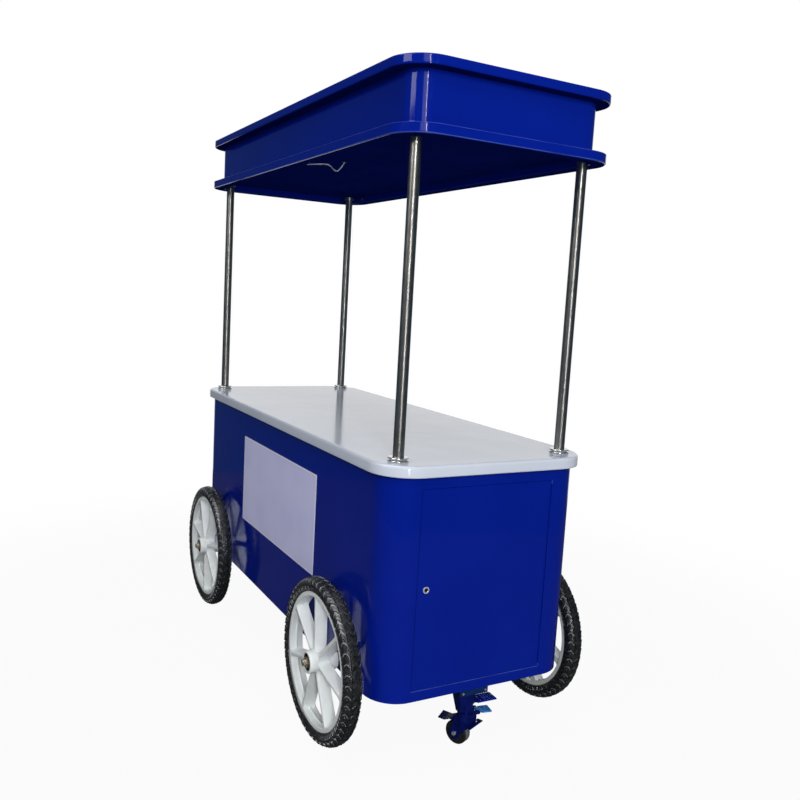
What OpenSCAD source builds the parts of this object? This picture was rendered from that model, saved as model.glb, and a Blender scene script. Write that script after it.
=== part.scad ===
// Ice cream push cart: a sheet-metal cabinet on four moulded wheels, with a white
// counter, a canopy on four posts, a locking door in one end and a foot-operated
// jack caster under that end. Millimetres. The origin is on the ground under the
// middle, +X points to the door end, -Y to the sign side and +Z up.

/* [Cabinet] */
// Length of the cabinet
cabinet_l = 1758; // [1600:1:1900]
// Width of the cabinet
cabinet_w = 678; // [620:1:740]
// Height of the cabinet's sheet sides
cabinet_h = 659; // [600:1:720]
// Radius of the cabinet's upright corners
cabinet_r = 100; // [90:1:110]
// Thickness of the cabinet's and canopy's sheet
skin_t = 1.5; // [1:0.1:2]
// Side of the frame's square tubes
frame_tube = 30; // [25:1:35]
// Wall of the frame's tubes
tube_t = 2; // [1.5:0.5:3]
// Height of the axles above the cabinet's lower edge
axle_drop = 40; // [36:1:44]
// Height of the base rails above the axles
rail_over = 20; // [18:1:28]
// Distance of the middle cross rails from the middle
cross_x = 260; // [200:1:320]

/* [Counter] */
// Reach of the counter past the cabinet
counter_overhang = 21; // [14:1:30]
// Thickness of the counter with its board
counter_t = 34; // [28:1:40]
// Thickness of the counter's moulded skin
counter_skin = 4; // [3:0.5:6]

/* [Sign] */
// Length of the sign sheet
sign_l = 731; // [600:1:780]
// Height of the sign sheet
sign_h = 337; // [280:1:360]
// Thickness of the sign sheet
sign_t = 1.5; // [1:0.1:3]
// Distance from the cabinet's top edge to the sign's top edge
sign_drop = 99; // [70:1:120]
// Offset of the sign from the middle of the side
sign_x = 15.5; // [-20:0.5:20]

/* [Posts] */
// Diameter of the posts
post_d = 32; // [28:1:38]
// Wall of the posts
post_t = 1.5; // [1:0.1:2.5]
// Distance of a post's axis from the cabinet's end
post_inset_x = 61.5; // [58:0.5:70]
// Distance of a post's axis from the cabinet's side
post_inset_y = 53; // [50:0.5:60]
// Clear height between the counter and the canopy
serving_h = 875; // [760:1:980]
// Diameter of the foot flanges
flange_d = 60; // [52:1:66]
// Diameter of the groove in the foot flanges
flange_waist_d = 48; // [44:1:50]
// Thickness of each plate of the foot flanges
flange_plate_t = 5; // [3:0.5:7]
// Height of the groove in the foot flanges
flange_groove_h = 3; // [2:0.5:5]
// Diameter of the sockets under the ceiling
socket_d = 44; // [41:1:46]
// Height of the sockets under the ceiling
socket_h = 12; // [8:1:18]

/* [Canopy] */
// Reach of the canopy past the cabinet
canopy_overhang = 23.5; // [16:0.5:30]
// Radius of the canopy's corners
canopy_r = 108; // [102:1:116]
// Thickness of the canopy's lower ring
ring_t = 28; // [22:1:34]
// Width of the lower ring
ring_w = 46; // [44:0.5:48]
// Height of the fascia between the ring and the roof
fascia_h = 143; // [110:1:170]
// Distance of the fascia from the canopy's edge
fascia_inset = 42; // [40:0.5:43]
// Thickness of the roof's edge
roof_t = 27; // [22:1:34]
// Side of the canopy's frame tubes
canopy_tube = 20; // [16:1:25]

/* [Wheels] */
// Diameter of the wheels over the tyre
wheel_d = 504; // [470:1:530]
// Distance of the axles from the cabinet's ends
axle_inset = 273; // [240:1:320]
// Gap between a tyre and the cabinet
tyre_gap = 32; // [28:1:40]
// Width of the tyres
tyre_w = 56; // [50:1:60]
// Height of a tyre over the rim's edge
tyre_h = 44; // [38:1:50]
// Width of the rims
rim_w = 43; // [40:1:48]
// Depth of the rim's tyre seat below the rim's edge
rim_seat = 8; // [6:0.5:10]
// Thickness of the rim's barrel
rim_t = 6; // [5:0.5:8]
// Thickness of the rim's flanges
rim_flange_t = 3.5; // [3:0.5:5]
// Number of spokes
spoke_count = 7; // [5:1:9]
// Width of a spoke's outer ridge
spoke_ridge_w = 10; // [8:1:14]
// Width of a spoke's inner edge
spoke_back_w = 22; // [18:1:26]
// Depth of a spoke at the hub
spoke_hub_depth = 36; // [30:1:38]
// Depth of a spoke at the rim
spoke_rim_depth = 38; // [30:1:40]
// Diameter of the hubs
hub_d = 68; // [62:1:76]
// Length of the hubs
hub_l = 92; // [86:1:94]
// Depth of the recess in each end of a hub
hub_recess = 12; // [10:1:14]
// Diameter of the recess in each end of a hub
hub_recess_d = 53; // [50:1:56]

/* [Axles] */
// Diameter of the axles
axle_d = 20; // [17:1:22]
// Diameter of the wheel bearings
bearing_d = 47; // [44:1:49]
// Width of the wheel bearings
bearing_w = 14; // [12:1:16]
// Wall of the sleeves that hold the axles in the rails
sleeve_t = 5; // [4:0.5:6]
// Wall of the spacers between the rails and the bearings
spacer_t = 4; // [3:0.5:5]
// Reach of the axle ends past the hubs
axle_proud = 13; // [8:1:16]
// Diameter of the axle washers
washer_d = 36; // [33:1:40]
// Thickness of the axle washers
washer_t = 3; // [2:0.5:4]
// Size of the axle nuts over their corners
nut_d = 33; // [30:1:36]
// Height of the axle nuts
nut_h = 14; // [10:1:16]

/* [Door] */
// Distance from the cabinet's lower edge to the door
door_rise = 33; // [28:1:40]
// Distance from the door to the cabinet's top edge
door_head = 37; // [32:1:45]
// Distance from the corner's round to the door's lock edge
door_lock_margin = 3; // [2:0.5:8]
// Distance from the corner's round to the door's hinge edge
door_hinge_margin = 23; // [20:0.5:30]
// Thickness of the door
door_t = 16; // [14:0.5:18]
// Gap round the door
door_gap = 2.4; // [2:0.1:3]
// Room behind the door for its stop
door_room = 4; // [3.5:0.5:6]
// Width of the bars beside the door
jamb_w = 15; // [12:0.5:15]
// Width of the stop on the lock side
stop_w = 12; // [9:0.5:14]
// Diameter of the hinge's knuckles
knuckle_d = 5; // [4:0.5:6]
// Diameter of the hinge pin
hinge_pin_d = 2.5; // [2:0.1:2.8]
// Number of knuckles
knuckle_count = 7; // [5:2:11]
// Width of a hinge leaf
hinge_leaf_w = 15; // [12:0.5:15]
// Distance of the hinge's ends from the door's ends
hinge_end = 10; // [6:1:30]

/* [Lock] */
// Diameter of the lock's face
lock_d = 20; // [18:0.5:24]
// Height of the lock's face over the door
lock_face_h = 3; // [2:0.5:4]
// Diameter of the lock's body
lock_body_d = 16; // [14:0.5:17]
// Diameter of the turning plug
lock_plug_d = 12; // [10:0.5:12.5]
// Distance of the lock from the door's edge
lock_inset = 29; // [26:0.5:34]
// Height of the lock over the door's lower edge
lock_rise = 298; // [240:1:340]
// Length of the cam from the lock's axis
cam_l = 36; // [33:1:42]
// Width of the cam
cam_w = 14; // [12:0.5:15]
// Thickness of the cam
cam_t = 3; // [2:0.5:3]

/* [Jack caster] */
// Distance of the caster's upright axis from the cabinet's end
jack_inset = 57; // [54:0.5:62]
// Width of the saddle under the cabinet
saddle_w = 100; // [94:1:116]
// Height of the saddle's lips
saddle_h = 32; // [28:1:36]
// Thickness of the saddle's plate
saddle_t = 3; // [2:0.5:4]
// Distance between the saddle's two bolts
bolt_pitch = 80; // [76:1:82]
// Diameter of the saddle's bolts
bolt_d = 5; // [4:0.5:6]
// Diameter of the jack's plunger
plunger_d = 40; // [36:1:42]
// Upper diameter of the jack's housing
housing_top_d = 52; // [50:1:56]
// Lower diameter of the jack's housing
housing_low_d = 46; // [44:1:48]
// Travel of the jack
jack_travel = 18; // [10:1:19]
// Diameter of the caster wheel
caster_d = 75; // [66:1:80]
// Width of the caster wheel
caster_w = 30; // [26:1:32]
// Trail of the caster wheel behind its upright axis
caster_trail = 25; // [20:1:30]
// Angle that the caster is turned to
caster_turn = 24; // [0:1:60]
// Angle of the lift pedal from the cart's length
pedal_turn = 88; // [82:1:92]
// Angle of the swivel lock pedal from the cart's length
lock_pedal_turn = 79; // [74:1:86]
// Reach of the lift pedal
lift_pedal_reach = 95; // [88:1:98]
// Width of the lift pedal
lift_pedal_w = 44; // [38:1:46]
// Reach of the swivel lock pedal
lock_pedal_reach = 78; // [72:1:82]
// Width of the swivel lock pedal
lock_pedal_w = 38; // [34:1:42]
// Thickness of the pedals
pedal_t = 4; // [3:0.5:5]

/* [Lamp lead] */
// Diameter of the lamp lead
lead_d = 4; // [3:0.5:5]
// Diameter of the grommets in the ceiling
grommet_d = 14; // [11:0.5:18]

/* [Hidden] */
$fn = 64;
// How far a cut runs past what it cuts
cut = 1;
// Radial clearance of a turning fit
run_gap = 0.05;
// Clearance of a fixed fit
fit_gap = 0.1;
// Clearance between turning faces
face_gap = 0.4;
// Clearance beside a shaft or spacer that passes a sheet
pass_gap = 0.5;

// Heights, from the ground up
axle_z = wheel_d / 2;
cabinet_z = axle_z - axle_drop;
rail_h = axle_drop + rail_over;
floor_z = cabinet_z + rail_h;
cabinet_top_z = cabinet_z + cabinet_h;
counter_z = cabinet_top_z + counter_t;
ring_z = counter_z + serving_h;
ceiling_z = ring_z + ring_t - skin_t;
fascia_top_z = ring_z + ring_t + fascia_h;

// Plan sizes
end_x = cabinet_l / 2;
door_depth = door_t + door_room;
side_y = cabinet_w / 2;
beam_x = end_x - door_depth;
seam_gap = 0.2;
beam_w = (cabinet_r - door_depth) / 2;
rail_l = cabinet_l - 2 * cabinet_r;
rail_y = side_y - skin_t - frame_tube / 2;
counter_l = cabinet_l + 2 * counter_overhang;
counter_w = cabinet_w + 2 * counter_overhang;
counter_r = cabinet_r + counter_overhang;
canopy_l = cabinet_l + 2 * canopy_overhang;
canopy_w = cabinet_w + 2 * canopy_overhang;
post_x = end_x - post_inset_x;
post_y = side_y - post_inset_y;
corner_gap = 8;
// Half width that is free inside the cabinet's skin where the corner has curved for dx
function corner_half(dx) =
    side_y - cabinet_r + sqrt(pow(cabinet_r - skin_t, 2) - dx * dx) - corner_gap;

// Wheels and axles
wheel_x = end_x - axle_inset;
wheel_y = side_y + tyre_gap + tyre_w / 2;
rim_r = wheel_d / 2 - tyre_h;
rim_seat_r = rim_r - rim_seat;
rim_bore_r = rim_seat_r - rim_t;
hub_end_y = wheel_y + hub_l / 2;
bearing_y = hub_l / 2 - hub_recess;
sleeve_d = axle_d + 2 * sleeve_t;
spacer_d = axle_d + 2 * spacer_t;
// The hub's bore between the bearings leaves this shoulder behind each bearing
bearing_shoulder = 6;
// Turn of each wheel's spokes as the cart stands: front right, front left, rear right, rear left
spoke_phases = [-9.5, 20, 13, 4];
// Height and half width of the step inside the rim, and how far the spokes enter hub and rim
rim_step_h = 3;
rim_step_w = 4;
spoke_root = 4;
// How far the spokes' ridges lie behind the rim's outer face
spoke_inset = 0.5;
// Steps of the tyre's round and the width share of its foot
tyre_steps = 12;
tyre_foot_share = 0.8;

// Door, hinge and lock
door_w = cabinet_w - 2 * cabinet_r - door_lock_margin - door_hinge_margin;
door_h = cabinet_h - door_rise - door_head;
door_y = (door_lock_margin - door_hinge_margin) / 2;
door_z = cabinet_z + door_rise;
stop_gap = 0.5;
stop_t = door_room - stop_gap;
door_lock_y = door_y - door_w / 2;
door_hinge_y = door_y + door_w / 2;
jamb_relief = 2;
jamb_d = door_depth - skin_t - jamb_relief;
hinge_clear = 0.3;
hinge_x = end_x + knuckle_d / 2 + hinge_clear;
hinge_y = door_hinge_y + door_gap / 2;
hinge_l = door_h - 2 * hinge_end;
leaf_gap = 0.4;
leaf_t = (door_gap - leaf_gap) / 2;
knuckle_l = hinge_l / knuckle_count;
lock_y = door_lock_y + lock_inset;
lock_z = door_z + lock_rise;
lock_nut_wall = 4;
lock_nut_d = lock_body_d + 2 * lock_nut_wall;
lock_nut_h = 4;
lock_tail_reach = 7;
lock_tail = door_t + lock_tail_reach;
plug_recess = 0.6;
key_slot_w = 1.6;
key_slot_l = 8;
key_slot_depth = 4;
liner_clear = 3;
liner_hole_d = lock_nut_d + 2 * liner_clear;

// Jack and caster, heights from the ground
jack_x = end_x - jack_inset;
lip_inset = 22;
saddle_front = jack_inset - lip_inset;
saddle_back = 44;
housing_back = 32;
housing_half_w = 45;
lip_gap = 1;
housing_block_z = cabinet_z - saddle_h - lip_gap;
bolt_drop = 22;
bolt_z = cabinet_z - bolt_drop;
bolt_depth = 16;
bolt_head_d = 8;
bolt_head_h = 3;
fork_rise = 24.6;
fork_top_z = caster_d + fork_rise;
crown_h = 12.6;
crown_r = 27;
collar_z = fork_top_z + face_gap;
collar_h = 12;
collar_r = 27;
jack_clear = 10;
housing_z = collar_z + collar_h + jack_travel + jack_clear;
web_front = 18;
web_side = 36;
web_back = 36;
web_low_back = 4;
web_t = 3;
web_rise = 8;
web_z = collar_z + collar_h + web_rise;
web_clear = 1.5;
plunger_clear = 11;
plunger_top_z = cabinet_z - saddle_t - jack_travel - plunger_clear;
kingpin_d = 12;
kingpin_head_d = 20;
kingpin_head_h = 4.6;
lug_t = 5;
lug_gap = 0.3;
lift_pivot_r = 34;
lift_pivot_rise = 4;
lift_pivot_z = housing_z + lift_pivot_rise;
lift_hub_w = 16;
lift_hub_d = 9;
lift_pin_d = 5;
lift_lug_d = 9;
lift_cheek_start = 26;
lift_plate_start = 44;
cheek_gap = 1.5;
tread_bar_count = 5;
tread_bar_w = 2.4;
tread_bar_h = 1.6;
lock_pivot_r = 35;
lock_pivot_rise = 11;
lock_pivot_z = collar_z + lock_pivot_rise;
lock_hub_w = 24;
lock_hub_d = 10;
lock_pin_d = 5;
lock_lug_d = 12;
lock_plate_start = 44;
leg_t = 4;
leg_gap = 2;
leg_y = caster_w / 2 + leg_gap;
leg_boss_r = 17;
leg_top_half = 26;
caster_z = caster_d / 2;
caster_axle_d = 8;
caster_hub_d = 56;
caster_hub_proud = 1.2;
caster_nut_d = 14;
caster_nut_h = 5;
tread_round = 4;
brake_x = 20;
brake_drop = 6;
brake_z = fork_top_z - crown_h - brake_drop;
brake_hub_d = 9;
brake_pin_d = 5;
brake_t = 3;
brake_lift = 2.8;
brake_w = 30;
brake_knee_x = 44;
brake_bend_x = 62;
brake_toe_drop = 6;
brake_toe_z = caster_d - brake_toe_drop;
brake_toe_far = [-95, 20];
brake_toe_near = [-84, -26];
brake_root_x = 36;
brake_root_y = 23;
brake_heel_x = 40;
brake_heel_y = 36;
brake_bar_x = 30;
brake_wing_x = 22;
brake_wing_gap = 2.5;
brake_wing_y = leg_y + leg_t + brake_wing_gap;

// Lamp lead: where it leaves the ceiling, then its route from there as X, Y and the drop from the ceiling
lead_x = 34;
lead_inset = 70.5;
lead_y = lead_inset - canopy_w / 2;
lead_route = [
    [0, 0, 0], [0, 0, 2], [0.5, 0.5, 5], [1, 2, 7.5], [2.5, 4.5, 9.5], [4, 7, 10],
    [10, 18, 9.5], [18, 33, 8], [26, 48, 6.5], [34, 63, 5.5], [40, 74, 6], [45, 80.5, 8.5],
    [51, 85, 14], [57, 88.5, 20], [63, 92, 25.5], [68, 95, 28.5], [72, 97, 29], [76, 99, 28.5],
    [81, 101.5, 25.5], [87, 104.5, 19.5], [93, 107.5, 13], [97, 110, 7.5], [98.5, 111.5, 4],
    [99, 112, 2], [99, 112, 0]
];
lead_ends = [for (p = [lead_route[0], lead_route[len(lead_route) - 1]]) [lead_x + p[0], lead_y + p[1]]];
lead_sides = 8;
grommet_lip_h = 1.5;

blue = "#1a2f96";
white = "#d8dce4";
steel = "#c2c6ca";
dark = "#4a4e55";
black = "#1b1c1e";

// Outline with round corners, centred
module round_rect(l, w, r) {
    square([l - 2 * r, w], center = true);
    square([l, w - 2 * r], center = true);
    for (x = [-1, 1], y = [-1, 1]) translate([x * (l / 2 - r), y * (w / 2 - r)]) circle(r);
}

// Ring between a round outline and the same outline drawn in by t
module ring_outline(l, w, r, t) {
    difference() {
        round_rect(l, w, r);
        round_rect(l - 2 * t, w - 2 * t, r - t);
    }
}

// Outline of the canopy, drawn in by inset
module canopy_outline(inset) {
    round_rect(canopy_l - 2 * inset, canopy_w - 2 * inset, canopy_r - inset);
}

// Hollow rectangular tube that runs along one axis: 0 is X, 1 is Y and 2 is Z
module box_tube(size, t, along) {
    difference() {
        cube(size, center = true);
        cube([for (i = [0:2]) i == along ? size[i] + 2 * cut : size[i] - 2 * t], center = true);
    }
}

// Round tube that stands on the XY plane
module round_tube(outer_d, inner_d, h) {
    difference() {
        cylinder(d = outer_d, h = h);
        translate([0, 0, -cut]) cylinder(d = inner_d, h = h + 2 * cut);
    }
}

// Places children at a post: fx is 1 at the front, sy is -1 on the sign side
module at_post(fx, sy, z) {
    translate([fx * post_x, sy * post_y, z]) children();
}

// Places children at a wheel's centre with local +Z pointing away from the cabinet
module at_wheel(fx, sy) {
    translate([fx * wheel_x, sy * wheel_y, axle_z]) rotate([-90 * sy, 0, 0]) children();
}

// Places children on an axle with local +Z along +Y
module on_axle(fx, y) {
    translate([fx * wheel_x, y, axle_z]) rotate([-90, 0, 0]) children();
}

// The shell is four round corner columns and the flat sheets between them, each
// column parted from its sheets by a fine seam.
module cabinet_shell() {
    seam_l = skin_t + 2 * cut;
    seam_h = cabinet_h + 2 * cut;
    color(blue) translate([0, 0, cabinet_z]) difference() {
        linear_extrude(cabinet_h) ring_outline(cabinet_l, cabinet_w, cabinet_r, skin_t);
        translate([end_x - skin_t - cut, door_lock_y - door_gap, door_rise - door_gap])
            cube([skin_t + 2 * cut, door_w + 2 * door_gap, door_h + 2 * door_gap]);
        for (fx = [-1, 1]) translate([fx * (end_x - cabinet_r) - seam_gap / 2, -side_y - cut, -cut])
            cube([seam_gap, cabinet_w + 2 * cut, seam_h]);
        for (sy = [-1, 1]) translate([-end_x - cut, sy * (side_y - cabinet_r) - seam_gap / 2, -cut])
            cube([seam_l, seam_gap, seam_h]);
        for (y = [door_lock_y - door_gap, door_hinge_y + door_gap - seam_gap])
            translate([end_x - skin_t - cut, y, -cut]) cube([seam_l, seam_gap, seam_h]);
        for (fx = [-1, 1]) translate([fx * wheel_x, 0, axle_drop]) rotate([90, 0, 0])
            cylinder(d = spacer_d + 2 * pass_gap, h = cabinet_w + 2 * cut, center = true);
    }
}

module base_side_rails() {
    color(dark) difference() {
        for (sy = [-1, 1]) translate([0, sy * rail_y, cabinet_z + rail_h / 2])
            box_tube([rail_l, frame_tube, rail_h], tube_t, 0);
        for (fx = [-1, 1]) translate([fx * wheel_x, 0, axle_z]) rotate([90, 0, 0])
            cylinder(d = sleeve_d + 2 * run_gap, h = cabinet_w, center = true);
    }
}

module base_cross_rails() {
    inner_l = 2 * rail_y - frame_tube;
    rail_mid_z = cabinet_z + rail_h / 2;
    color(dark) for (fx = [-1, 1]) {
        translate([fx * cross_x, 0, rail_mid_z]) box_tube([beam_w, inner_l, rail_h], tube_t, 1);
        translate([fx * (beam_x - beam_w - beam_w / 2), 0, rail_mid_z])
            box_tube([beam_w, 2 * corner_half(beam_w), rail_h], tube_t, 1);
        translate([fx * (beam_x - beam_w / 2), 0, rail_mid_z])
            box_tube([beam_w, 2 * corner_half(2 * beam_w), rail_h], tube_t, 1);
    }
}

module cabinet_uprights() {
    upright_z = floor_z + skin_t;
    upright_h = cabinet_top_z - frame_tube - upright_z;
    color(dark) for (fx = [-1, 1], sy = [-1, 1])
        translate([fx * (rail_l - frame_tube) / 2, sy * rail_y, upright_z + upright_h / 2])
            box_tube([frame_tube, frame_tube, upright_h], tube_t, 2);
}

module top_rails() {
    rail_mid_z = cabinet_top_z - frame_tube / 2;
    inner_l = 2 * rail_y - frame_tube;
    color(dark) {
        for (sy = [-1, 1]) translate([0, sy * rail_y, rail_mid_z])
            box_tube([rail_l, frame_tube, frame_tube], tube_t, 0);
        for (fx = [-1, 1]) {
            translate([fx * cross_x, 0, rail_mid_z])
                box_tube([frame_tube, inner_l, frame_tube], tube_t, 1);
            translate([fx * (rail_l + frame_tube) / 2, 0, rail_mid_z])
                box_tube([frame_tube, 2 * corner_half(frame_tube), frame_tube], tube_t, 1);
        }
    }
}

module floor_panel() {
    inset = skin_t + fit_gap;
    color(dark) translate([0, 0, floor_z]) linear_extrude(skin_t) intersection() {
        round_rect(cabinet_l - 2 * inset, cabinet_w - 2 * inset, cabinet_r - inset);
        square([2 * beam_x, cabinet_w], center = true);
    }
}

// Two upright bars beside the door, one with the stop, and a bar over the door
module door_jambs() {
    head_z = door_z + door_h + door_gap;
    color(dark) {
        translate([beam_x, door_lock_y - door_gap - jamb_w, cabinet_z])
            cube([jamb_d, jamb_w, cabinet_h]);
        translate([beam_x, door_lock_y - door_gap - cut, floor_z + skin_t])
            cube([stop_t, stop_w + cut, head_z - floor_z - skin_t - fit_gap]);
        translate([beam_x, door_hinge_y + door_gap, cabinet_z]) cube([jamb_d, jamb_w, cabinet_h]);
        translate([beam_x, door_lock_y - door_gap + fit_gap, head_z])
            cube([jamb_d, door_w + 2 * door_gap - 2 * fit_gap, jamb_w]);
    }
}

module counter_core() {
    inset = counter_skin + fit_gap;
    color("burlywood") translate([0, 0, cabinet_top_z]) linear_extrude(counter_t - counter_skin)
        round_rect(counter_l - 2 * inset, counter_w - 2 * inset, counter_r - inset);
}

module countertop() {
    color(white) translate([0, 0, cabinet_top_z]) difference() {
        linear_extrude(counter_t) round_rect(counter_l, counter_w, counter_r);
        translate([0, 0, -cut]) linear_extrude(counter_t - counter_skin + cut)
            round_rect(
                counter_l - 2 * counter_skin, counter_w - 2 * counter_skin, counter_r - counter_skin
            );
    }
}

module sign_panel() {
    sign_z = cabinet_top_z - sign_drop - sign_h;
    color("#cfcfe4") translate([sign_x - sign_l / 2, -side_y - sign_t, sign_z])
        cube([sign_l, sign_t, sign_h]);
}

module post(fx, sy) {
    color(steel) at_post(fx, sy, counter_z)
        round_tube(post_d, post_d - 2 * post_t, ceiling_z - counter_z);
}
module front_right_post() post(1, -1);
module front_left_post() post(1, 1);
module rear_right_post() post(-1, -1);
module rear_left_post() post(-1, 1);

// Two plates with a groove between them, round the foot of each post
module post_flanges() {
    bore = post_d + 2 * run_gap;
    flange_h = 2 * flange_plate_t + flange_groove_h;
    color(steel) for (fx = [-1, 1], sy = [-1, 1]) at_post(fx, sy, counter_z) difference() {
        union() {
            cylinder(d = flange_d, h = flange_plate_t);
            cylinder(d = flange_waist_d, h = flange_h);
            translate([0, 0, flange_plate_t + flange_groove_h])
                cylinder(d = flange_d, h = flange_plate_t);
        }
        translate([0, 0, -cut]) cylinder(d = bore, h = flange_h + 2 * cut);
    }
}

module post_sockets() {
    color(steel) for (fx = [-1, 1], sy = [-1, 1]) at_post(fx, sy, ceiling_z - socket_h)
        round_tube(socket_d, post_d + 2 * run_gap, socket_h);
}

// Lower ring: a channel that is open upward, under the fascia's flange
module canopy_ring() {
    color(blue) translate([0, 0, ring_z]) difference() {
        linear_extrude(ring_t - skin_t) difference() {
            canopy_outline(0);
            canopy_outline(ring_w);
        }
        translate([0, 0, skin_t]) linear_extrude(ring_t) difference() {
            canopy_outline(skin_t);
            canopy_outline(fascia_inset - skin_t);
        }
    }
}

module canopy_fascia() {
    color(blue) {
        translate([0, 0, ceiling_z]) linear_extrude(skin_t) difference() {
            canopy_outline(0);
            canopy_outline(fascia_inset + skin_t);
        }
        translate([0, 0, ceiling_z]) linear_extrude(fascia_top_z - ceiling_z) difference() {
            canopy_outline(fascia_inset);
            canopy_outline(fascia_inset + skin_t);
        }
    }
}

module canopy_ceiling() {
    color(blue) translate([0, 0, ceiling_z]) difference() {
        linear_extrude(skin_t) canopy_outline(fascia_inset + skin_t + fit_gap);
        for (end = lead_ends) translate([end[0], end[1], -cut])
            cylinder(d = (grommet_d + lead_d) / 2, h = skin_t + 2 * cut);
    }
}

// Tubes on the ceiling: two along the canopy, one across over each pair of posts, one in the middle
module canopy_frame() {
    tube_z = ceiling_z + skin_t + canopy_tube / 2;
    free_w = canopy_w - 2 * (fascia_inset + skin_t) - 2 * fit_gap;
    long_l = canopy_l - 2 * canopy_r;
    color(dark) {
        for (sy = [-1, 1]) translate([0, sy * (free_w - canopy_tube) / 2, tube_z])
            box_tube([long_l, canopy_tube, canopy_tube], tube_t, 0);
        translate([0, 0, tube_z])
            box_tube([canopy_tube, free_w - 2 * canopy_tube, canopy_tube], tube_t, 1);
        for (fx = [-1, 1]) translate([fx * post_x, 0, tube_z])
            box_tube([canopy_tube, 2 * post_y, canopy_tube], tube_t, 1);
    }
}

// Roof pan with a folded edge that turns in under it as far as the ring does
module canopy_roof() {
    color(blue) translate([0, 0, fascia_top_z]) difference() {
        linear_extrude(roof_t) canopy_outline(0);
        translate([0, 0, skin_t]) linear_extrude(roof_t - 2 * skin_t) canopy_outline(skin_t);
        translate([0, 0, -cut]) linear_extrude(2 * cut + skin_t) canopy_outline(ring_w);
    }
}

module lead_grommets() {
    bore = lead_d + 2 * fit_gap;
    color(dark) for (end = lead_ends)
        translate([end[0], end[1], ceiling_z]) difference() {
            union() {
                translate([0, 0, -grommet_lip_h]) cylinder(d = grommet_d, h = grommet_lip_h);
                cylinder(d = (grommet_d + lead_d) / 2 - 2 * run_gap, h = skin_t);
            }
            translate([0, 0, -grommet_lip_h - cut])
                cylinder(d = bore, h = skin_t + grommet_lip_h + 2 * cut);
        }
}

// Unit vector, and the direction of the lead's route at point i
function unit(v) = v / norm(v);
function lead_point(i) =
    [lead_x + lead_route[i][0], lead_y + lead_route[i][1], ceiling_z - lead_route[i][2]];
function lead_way(i) = unit(lead_point(min(i + 1, len(lead_route) - 1)) - lead_point(max(i - 1, 0)));
// Sideways direction of the lead's rings: square to its way, in the plan of its whole run
lead_side = unit([1, -1, 0]);

// One tube swept along the route, closed at both ends
module lamp_lead() {
    n = len(lead_route);
    rings = [for (i = [0:n - 1]) let (
        way = lead_way(i),
        u = unit(cross(way, lead_side)),
        v = cross(u, way)
    ) [for (k = [0:lead_sides - 1]) let (a = 360 * k / lead_sides)
        lead_point(i) + lead_d / 2 * (cos(a) * u + sin(a) * v)]];
    points = [for (r = rings) each r];
    sides = [for (i = [0:n - 2], k = [0:lead_sides - 1]) let (
        a = i * lead_sides + k,
        b = i * lead_sides + (k + 1) % lead_sides
    ) each [[a, b, b + lead_sides], [a, b + lead_sides, a + lead_sides]]];
    first = [for (k = [1:lead_sides - 2]) [0, k + 1, k]];
    last = [for (k = [1:lead_sides - 2]) let (b = (n - 1) * lead_sides) [b, b + k, b + k + 1]];
    color("white") polyhedron(points, concat(sides, first, last));
}

module axle(fx) {
    axle_l = 2 * (hub_end_y + axle_proud);
    color(steel) on_axle(fx, -axle_l / 2) cylinder(d = axle_d, h = axle_l);
}
module front_axle() axle(1);
module rear_axle() axle(-1);

module axle_sleeves() {
    color(dark) for (fx = [-1, 1], sy = [-1, 1]) on_axle(fx, sy * rail_y - frame_tube / 2)
        round_tube(sleeve_d, axle_d + 2 * run_gap, frame_tube);
}

// Tubes that hold the bearings off the rails, through the holes in the cabinet's skin
module axle_spacers() {
    from_y = rail_y + frame_tube / 2;
    spacer_l = wheel_y - bearing_y - from_y - face_gap / 2;
    color(steel) for (fx = [-1, 1], sy = [-1, 1]) at_wheel(fx, sy)
        translate([0, 0, from_y - wheel_y]) round_tube(spacer_d, axle_d + 2 * run_gap, spacer_l);
}

module axle_washers() {
    color(steel) for (fx = [-1, 1], sy = [-1, 1]) at_wheel(fx, sy)
        translate([0, 0, bearing_y + face_gap / 2])
            round_tube(washer_d, axle_d + 2 * run_gap, washer_t);
}

module axle_nuts() {
    color(steel) for (fx = [-1, 1], sy = [-1, 1]) at_wheel(fx, sy)
        translate([0, 0, bearing_y + face_gap / 2 + washer_t]) difference() {
            cylinder(d = nut_d, h = nut_h, $fn = 6);
            translate([0, 0, -cut]) cylinder(d = axle_d + 2 * run_gap, h = nut_h + 2 * cut);
        }
}

// Tyre: a foot between the rim's flanges and a round body over them
module tyre(fx, sy) {
    foot = rim_w / 2 - rim_flange_t - fit_gap;
    foot_r = rim_seat_r + fit_gap;
    edge_r = rim_r + fit_gap;
    mid_r = (wheel_d / 2 + edge_r) / 2;
    crown = wheel_d / 2 - mid_r;
    bulge = [for (k = [0:tyre_steps]) let (a = 180 * k / tyre_steps)
        [mid_r + crown * sin(a), tyre_w / 2 * cos(a)]];
    low = tyre_w / 2 * tyre_foot_share;
    profile = concat(
        [[foot_r, foot], [edge_r, foot], [edge_r, low]], bulge,
        [[edge_r, -low], [edge_r, -foot], [foot_r, -foot]]
    );
    color(black) at_wheel(fx, sy) rotate_extrude() polygon(profile);
}
module front_right_tyre() tyre(1, -1);
module front_left_tyre() tyre(1, 1);
module rear_right_tyre() tyre(-1, -1);
module rear_left_tyre() tyre(-1, 1);

// Channel section of the rim with a step round the middle of its inner face
module rim() {
    half = rim_w / 2;
    seat = half - rim_flange_t;
    rotate_extrude() polygon([
        [rim_bore_r, -half], [rim_r, -half], [rim_r, -seat], [rim_seat_r, -seat], [rim_seat_r, seat],
        [rim_r, seat], [rim_r, half], [rim_bore_r, half], [rim_bore_r, rim_step_w],
        [rim_bore_r - rim_step_h, rim_step_w / 2], [rim_bore_r - rim_step_h, -rim_step_w / 2],
        [rim_bore_r, -rim_step_w]
    ]);
}

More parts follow.
